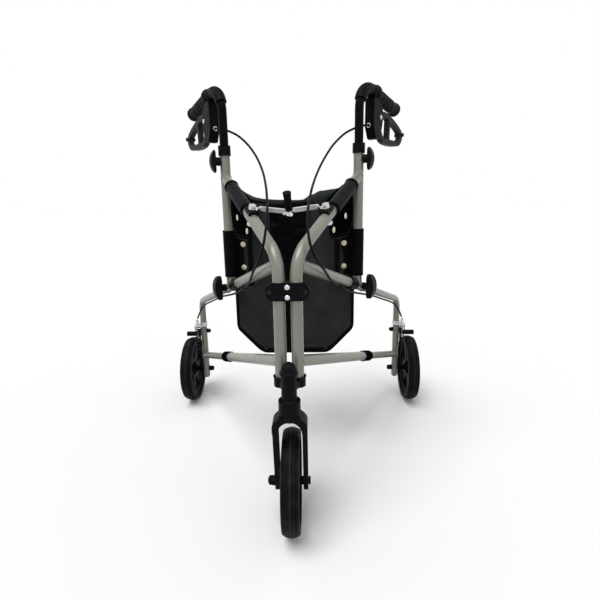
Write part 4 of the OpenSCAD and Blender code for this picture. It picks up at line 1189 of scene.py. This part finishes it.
def build_tyre_lines(name, node, body):
    """Parting line round the crown of a tyre, and the worn edges of its tread."""
    low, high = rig.box(node)
    centre = (low + high) / 2
    lines = ((0, WHEEL_R - 0.0002), (-TYRE_EDGE, TYRE_EDGE_R), (TYRE_EDGE, TYRE_EDGE_R))
    rings = [[centre + Vector((x, r * cos(a), r * sin(a))) for a in round_angles(120)]
             for x, r in lines]
    piece = tubes(name, rings, TYRE_LINE_R, "tyre_edge", 6, closed=True)
    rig.slot(piece, "tyre")
    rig.ride(piece, body)


# Profile of the head cap in shares of its radius and height
CAP_FLANGE = [(0.02, 0), (0.96, 0), (1, 0.03), (1, 0.16), (0.97, 0.22), (0.91, 0.26), (0.865, 0.29)]
CAP_DOME = [(0.85 * cos(a), 0.33 + 0.67 * sin(a)) for a in map(radians, range(0, 85, 7))]


def build_head_cap():
    """Cap of the head: a dome on a flange."""
    low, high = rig.box("head_cap")
    middle = (low + high) / 2
    radius, height = (high.x - low.x) / 2, high.z - low.z
    profile = [(r * radius, h * height) for r, h in (*CAP_FLANGE, *CAP_DOME, (0.005, 1))]
    foot = Vector((middle.x, middle.y, low.z))
    points, faces = revolve(profile, lambda x, y, h: foot + Vector((x, y, h)), 48)
    piece = add_mesh("head_dome", points, faces, [slot_of["head_cap"]])
    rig.slot(piece, slot_of["head_cap"])
    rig.ride(piece, "column")
    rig.replaces(piece, "head_cap")


# The object

# What is left of the cloth's width when the frames are folded, and the inside of the rail sleeves
WEB_KEEP, BAG_KEEP = 0.1, 0.15
SLEEVE_INSIDE = -0.0128

bag_pieces = build_bag()
lid_pieces = build_lid()
for name, side in SIDES:
    cloth = []
    for build, held in ((build_rail_sleeve, "folded"), (build_side_flap, "folded"),
                        (build_web, "hung")):
        wrap, extras, flat = build(name, side)
        cloth.append((wrap, *extras))
        for piece in (wrap, *extras):
            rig.slot(piece, "vinyl")
            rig.ride(piece, f"{name}_frame")
        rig.sheet(wrap, flat=flat, held=held, rests_on=[f"{name}_main_tube", f"{name}_upright"],
                 with_pieces=extras)
    sleeve, side_flap, web = cloth
    inner = on_side(side, SLEEVE_TO, SLEEVE_INSIDE, top_z(SLEEVE_TO))
    outward = on_side(side, SLEEVE_TO, 1, top_z(SLEEVE_TO)) - inner
    for piece in web:
        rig.squash(piece, "left_fold", axis=outward, anchor=inner, keep=WEB_KEEP)
    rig.replaces(sleeve[0], f"{name}_bag_flaps")
    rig.replaces(side_flap[0], f"{name}_bag_flaps")
    build_studs(name, side)
    build_link(name, side)
    build_cable(name, side)
    build_spring(name)
    build_welds(name, side)
    build_knob_boss(name, side)
    build_hand_rest_ribs(name, side)
    build_tyre_lines(f"{name}_tyre_lines", f"{name}_rear_tyre", f"{name}_rear_wheel")
build_tyre_lines("front_tyre_lines", "front_tyre", "front_wheel")
build_head_cap()
for piece in (*bag_pieces, *lid_pieces):
    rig.squash(piece, "left_fold", axis=(1, 0, 0), anchor=(0, 0, 0), keep=BAG_KEEP)


# Floor, light and camera

FLOOR_HALF, FLOOR_Z, FLOOR_BOUNCE = 14, -0.0006, 0.3
WORLD_LEVEL = 0.46

# Camera solved from the photograph's wheels, tubes and rails
CAMERA_AT = (0.0446, -1.0218, 0.6405)
CAMERA_AHEAD, CAMERA_LEVEL = Vector((-0.03035, 0.97103, -0.23701)), Vector((0.99951, 0.03124, 0.0))
CAMERA_ROLL = radians(-1.02)
FOCAL_PIXELS, PHOTO_PIXELS, SENSOR_MM = 435.9, 600, 36


def seen_directly(tree):
    """1 for rays that show a surface itself, in metal or through glass, and 0 for the rest."""
    rays = tree.nodes.new("ShaderNodeLightPath").outputs
    seen = combine(tree, "MAXIMUM", rays["Is Camera Ray"], rays["Is Glossy Ray"])
    return combine(tree, "MAXIMUM", seen, rays["Is Transmission Ray"])


def build_floor():
    """White as it is seen, and dimmer as light that it throws back on the object."""
    look = Look("studio_floor", grey(0.95), 0.8, specular_ior_level=0.2)
    look.colours(look.noise(3, 3), 0.3, 0.7, grey(0.945), grey(0.955))
    pale = look.shader.inputs["Base Color"].links[0].from_socket
    mix = look.tree.nodes.new("ShaderNodeMix")
    mix.data_type = "RGBA"
    share, dim, seen, mixed = mix.inputs["Factor"], mix.inputs[6], mix.inputs[7], mix.outputs[2]
    dim.default_value = (*grey(FLOOR_BOUNCE), 1)
    look.tree.links.new(seen_directly(look.tree), share)
    look.tree.links.new(pale, seen)
    look.tree.links.new(mixed, look.shader.inputs["Base Color"])
    looks["floor"] = look.material
    signs = ((-1, -1), (1, -1), (1, 1), (-1, 1))
    corners = [(FLOOR_HALF * x, FLOOR_HALF * y, FLOOR_Z) for x, y in signs]
    floor = add_mesh("floor", corners, [(0, 1, 2, 3)], ["floor"])
    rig.stage(floor)


def sun(name, towards, level, angle):
    """A soft lamp; a white sheet that faces a lamp of level 1 looks white."""
    light = bpy.data.lights.new(name, "SUN")
    light.energy = pi * level
    light.angle = radians(angle)
    made = bpy.data.objects.new(name, light)
    made.rotation_euler = Vector(towards).to_track_quat("-Z", "Y").to_euler()
    bpy.context.scene.collection.objects.link(made)


def build_world():
    """White as it is seen, and dimmer as light on the object."""
    world = bpy.data.worlds.new("studio")
    world.use_nodes = True
    nodes, links = world.node_tree.nodes, world.node_tree.links
    strength = nodes.new("ShaderNodeMapRange")
    strength.inputs["To Min"].default_value = WORLD_LEVEL
    links.new(seen_directly(world.node_tree), strength.inputs["Value"])
    background = nodes["Background"].inputs
    background["Color"].default_value = (1, 1, 1, 1)
    links.new(strength.outputs[0], background["Strength"])
    bpy.context.scene.world = world


def build_camera():
    """The photograph's camera, with its small roll."""
    up = CAMERA_LEVEL.cross(CAMERA_AHEAD)
    right = cos(CAMERA_ROLL) * CAMERA_LEVEL + sin(CAMERA_ROLL) * up
    above = -sin(CAMERA_ROLL) * CAMERA_LEVEL + cos(CAMERA_ROLL) * up
    data = bpy.data.cameras.new("camera")
    data.sensor_width = SENSOR_MM
    data.lens = FOCAL_PIXELS / PHOTO_PIXELS * SENSOR_MM
    camera = bpy.data.objects.new("camera", data)
    turn = Matrix((right, above, -CAMERA_AHEAD)).transposed().to_4x4()
    camera.matrix_world = Matrix.Translation(CAMERA_AT) @ turn
    bpy.context.scene.collection.objects.link(camera)
    bpy.context.scene.camera = camera


bpy.context.scene.view_settings.view_transform = "Standard"
build_world()
build_floor()
sun("key", towards=(0.26, 0.32, -0.92), level=0.62, angle=40)
sun("fill", towards=(-0.6, 0.62, -0.42), level=0.08, angle=60)
build_camera()

size = {"cad": cad_box, "visual": [list(corner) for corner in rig.bounds()]}
with open("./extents.json", "w") as file:
    json.dump(size, file)
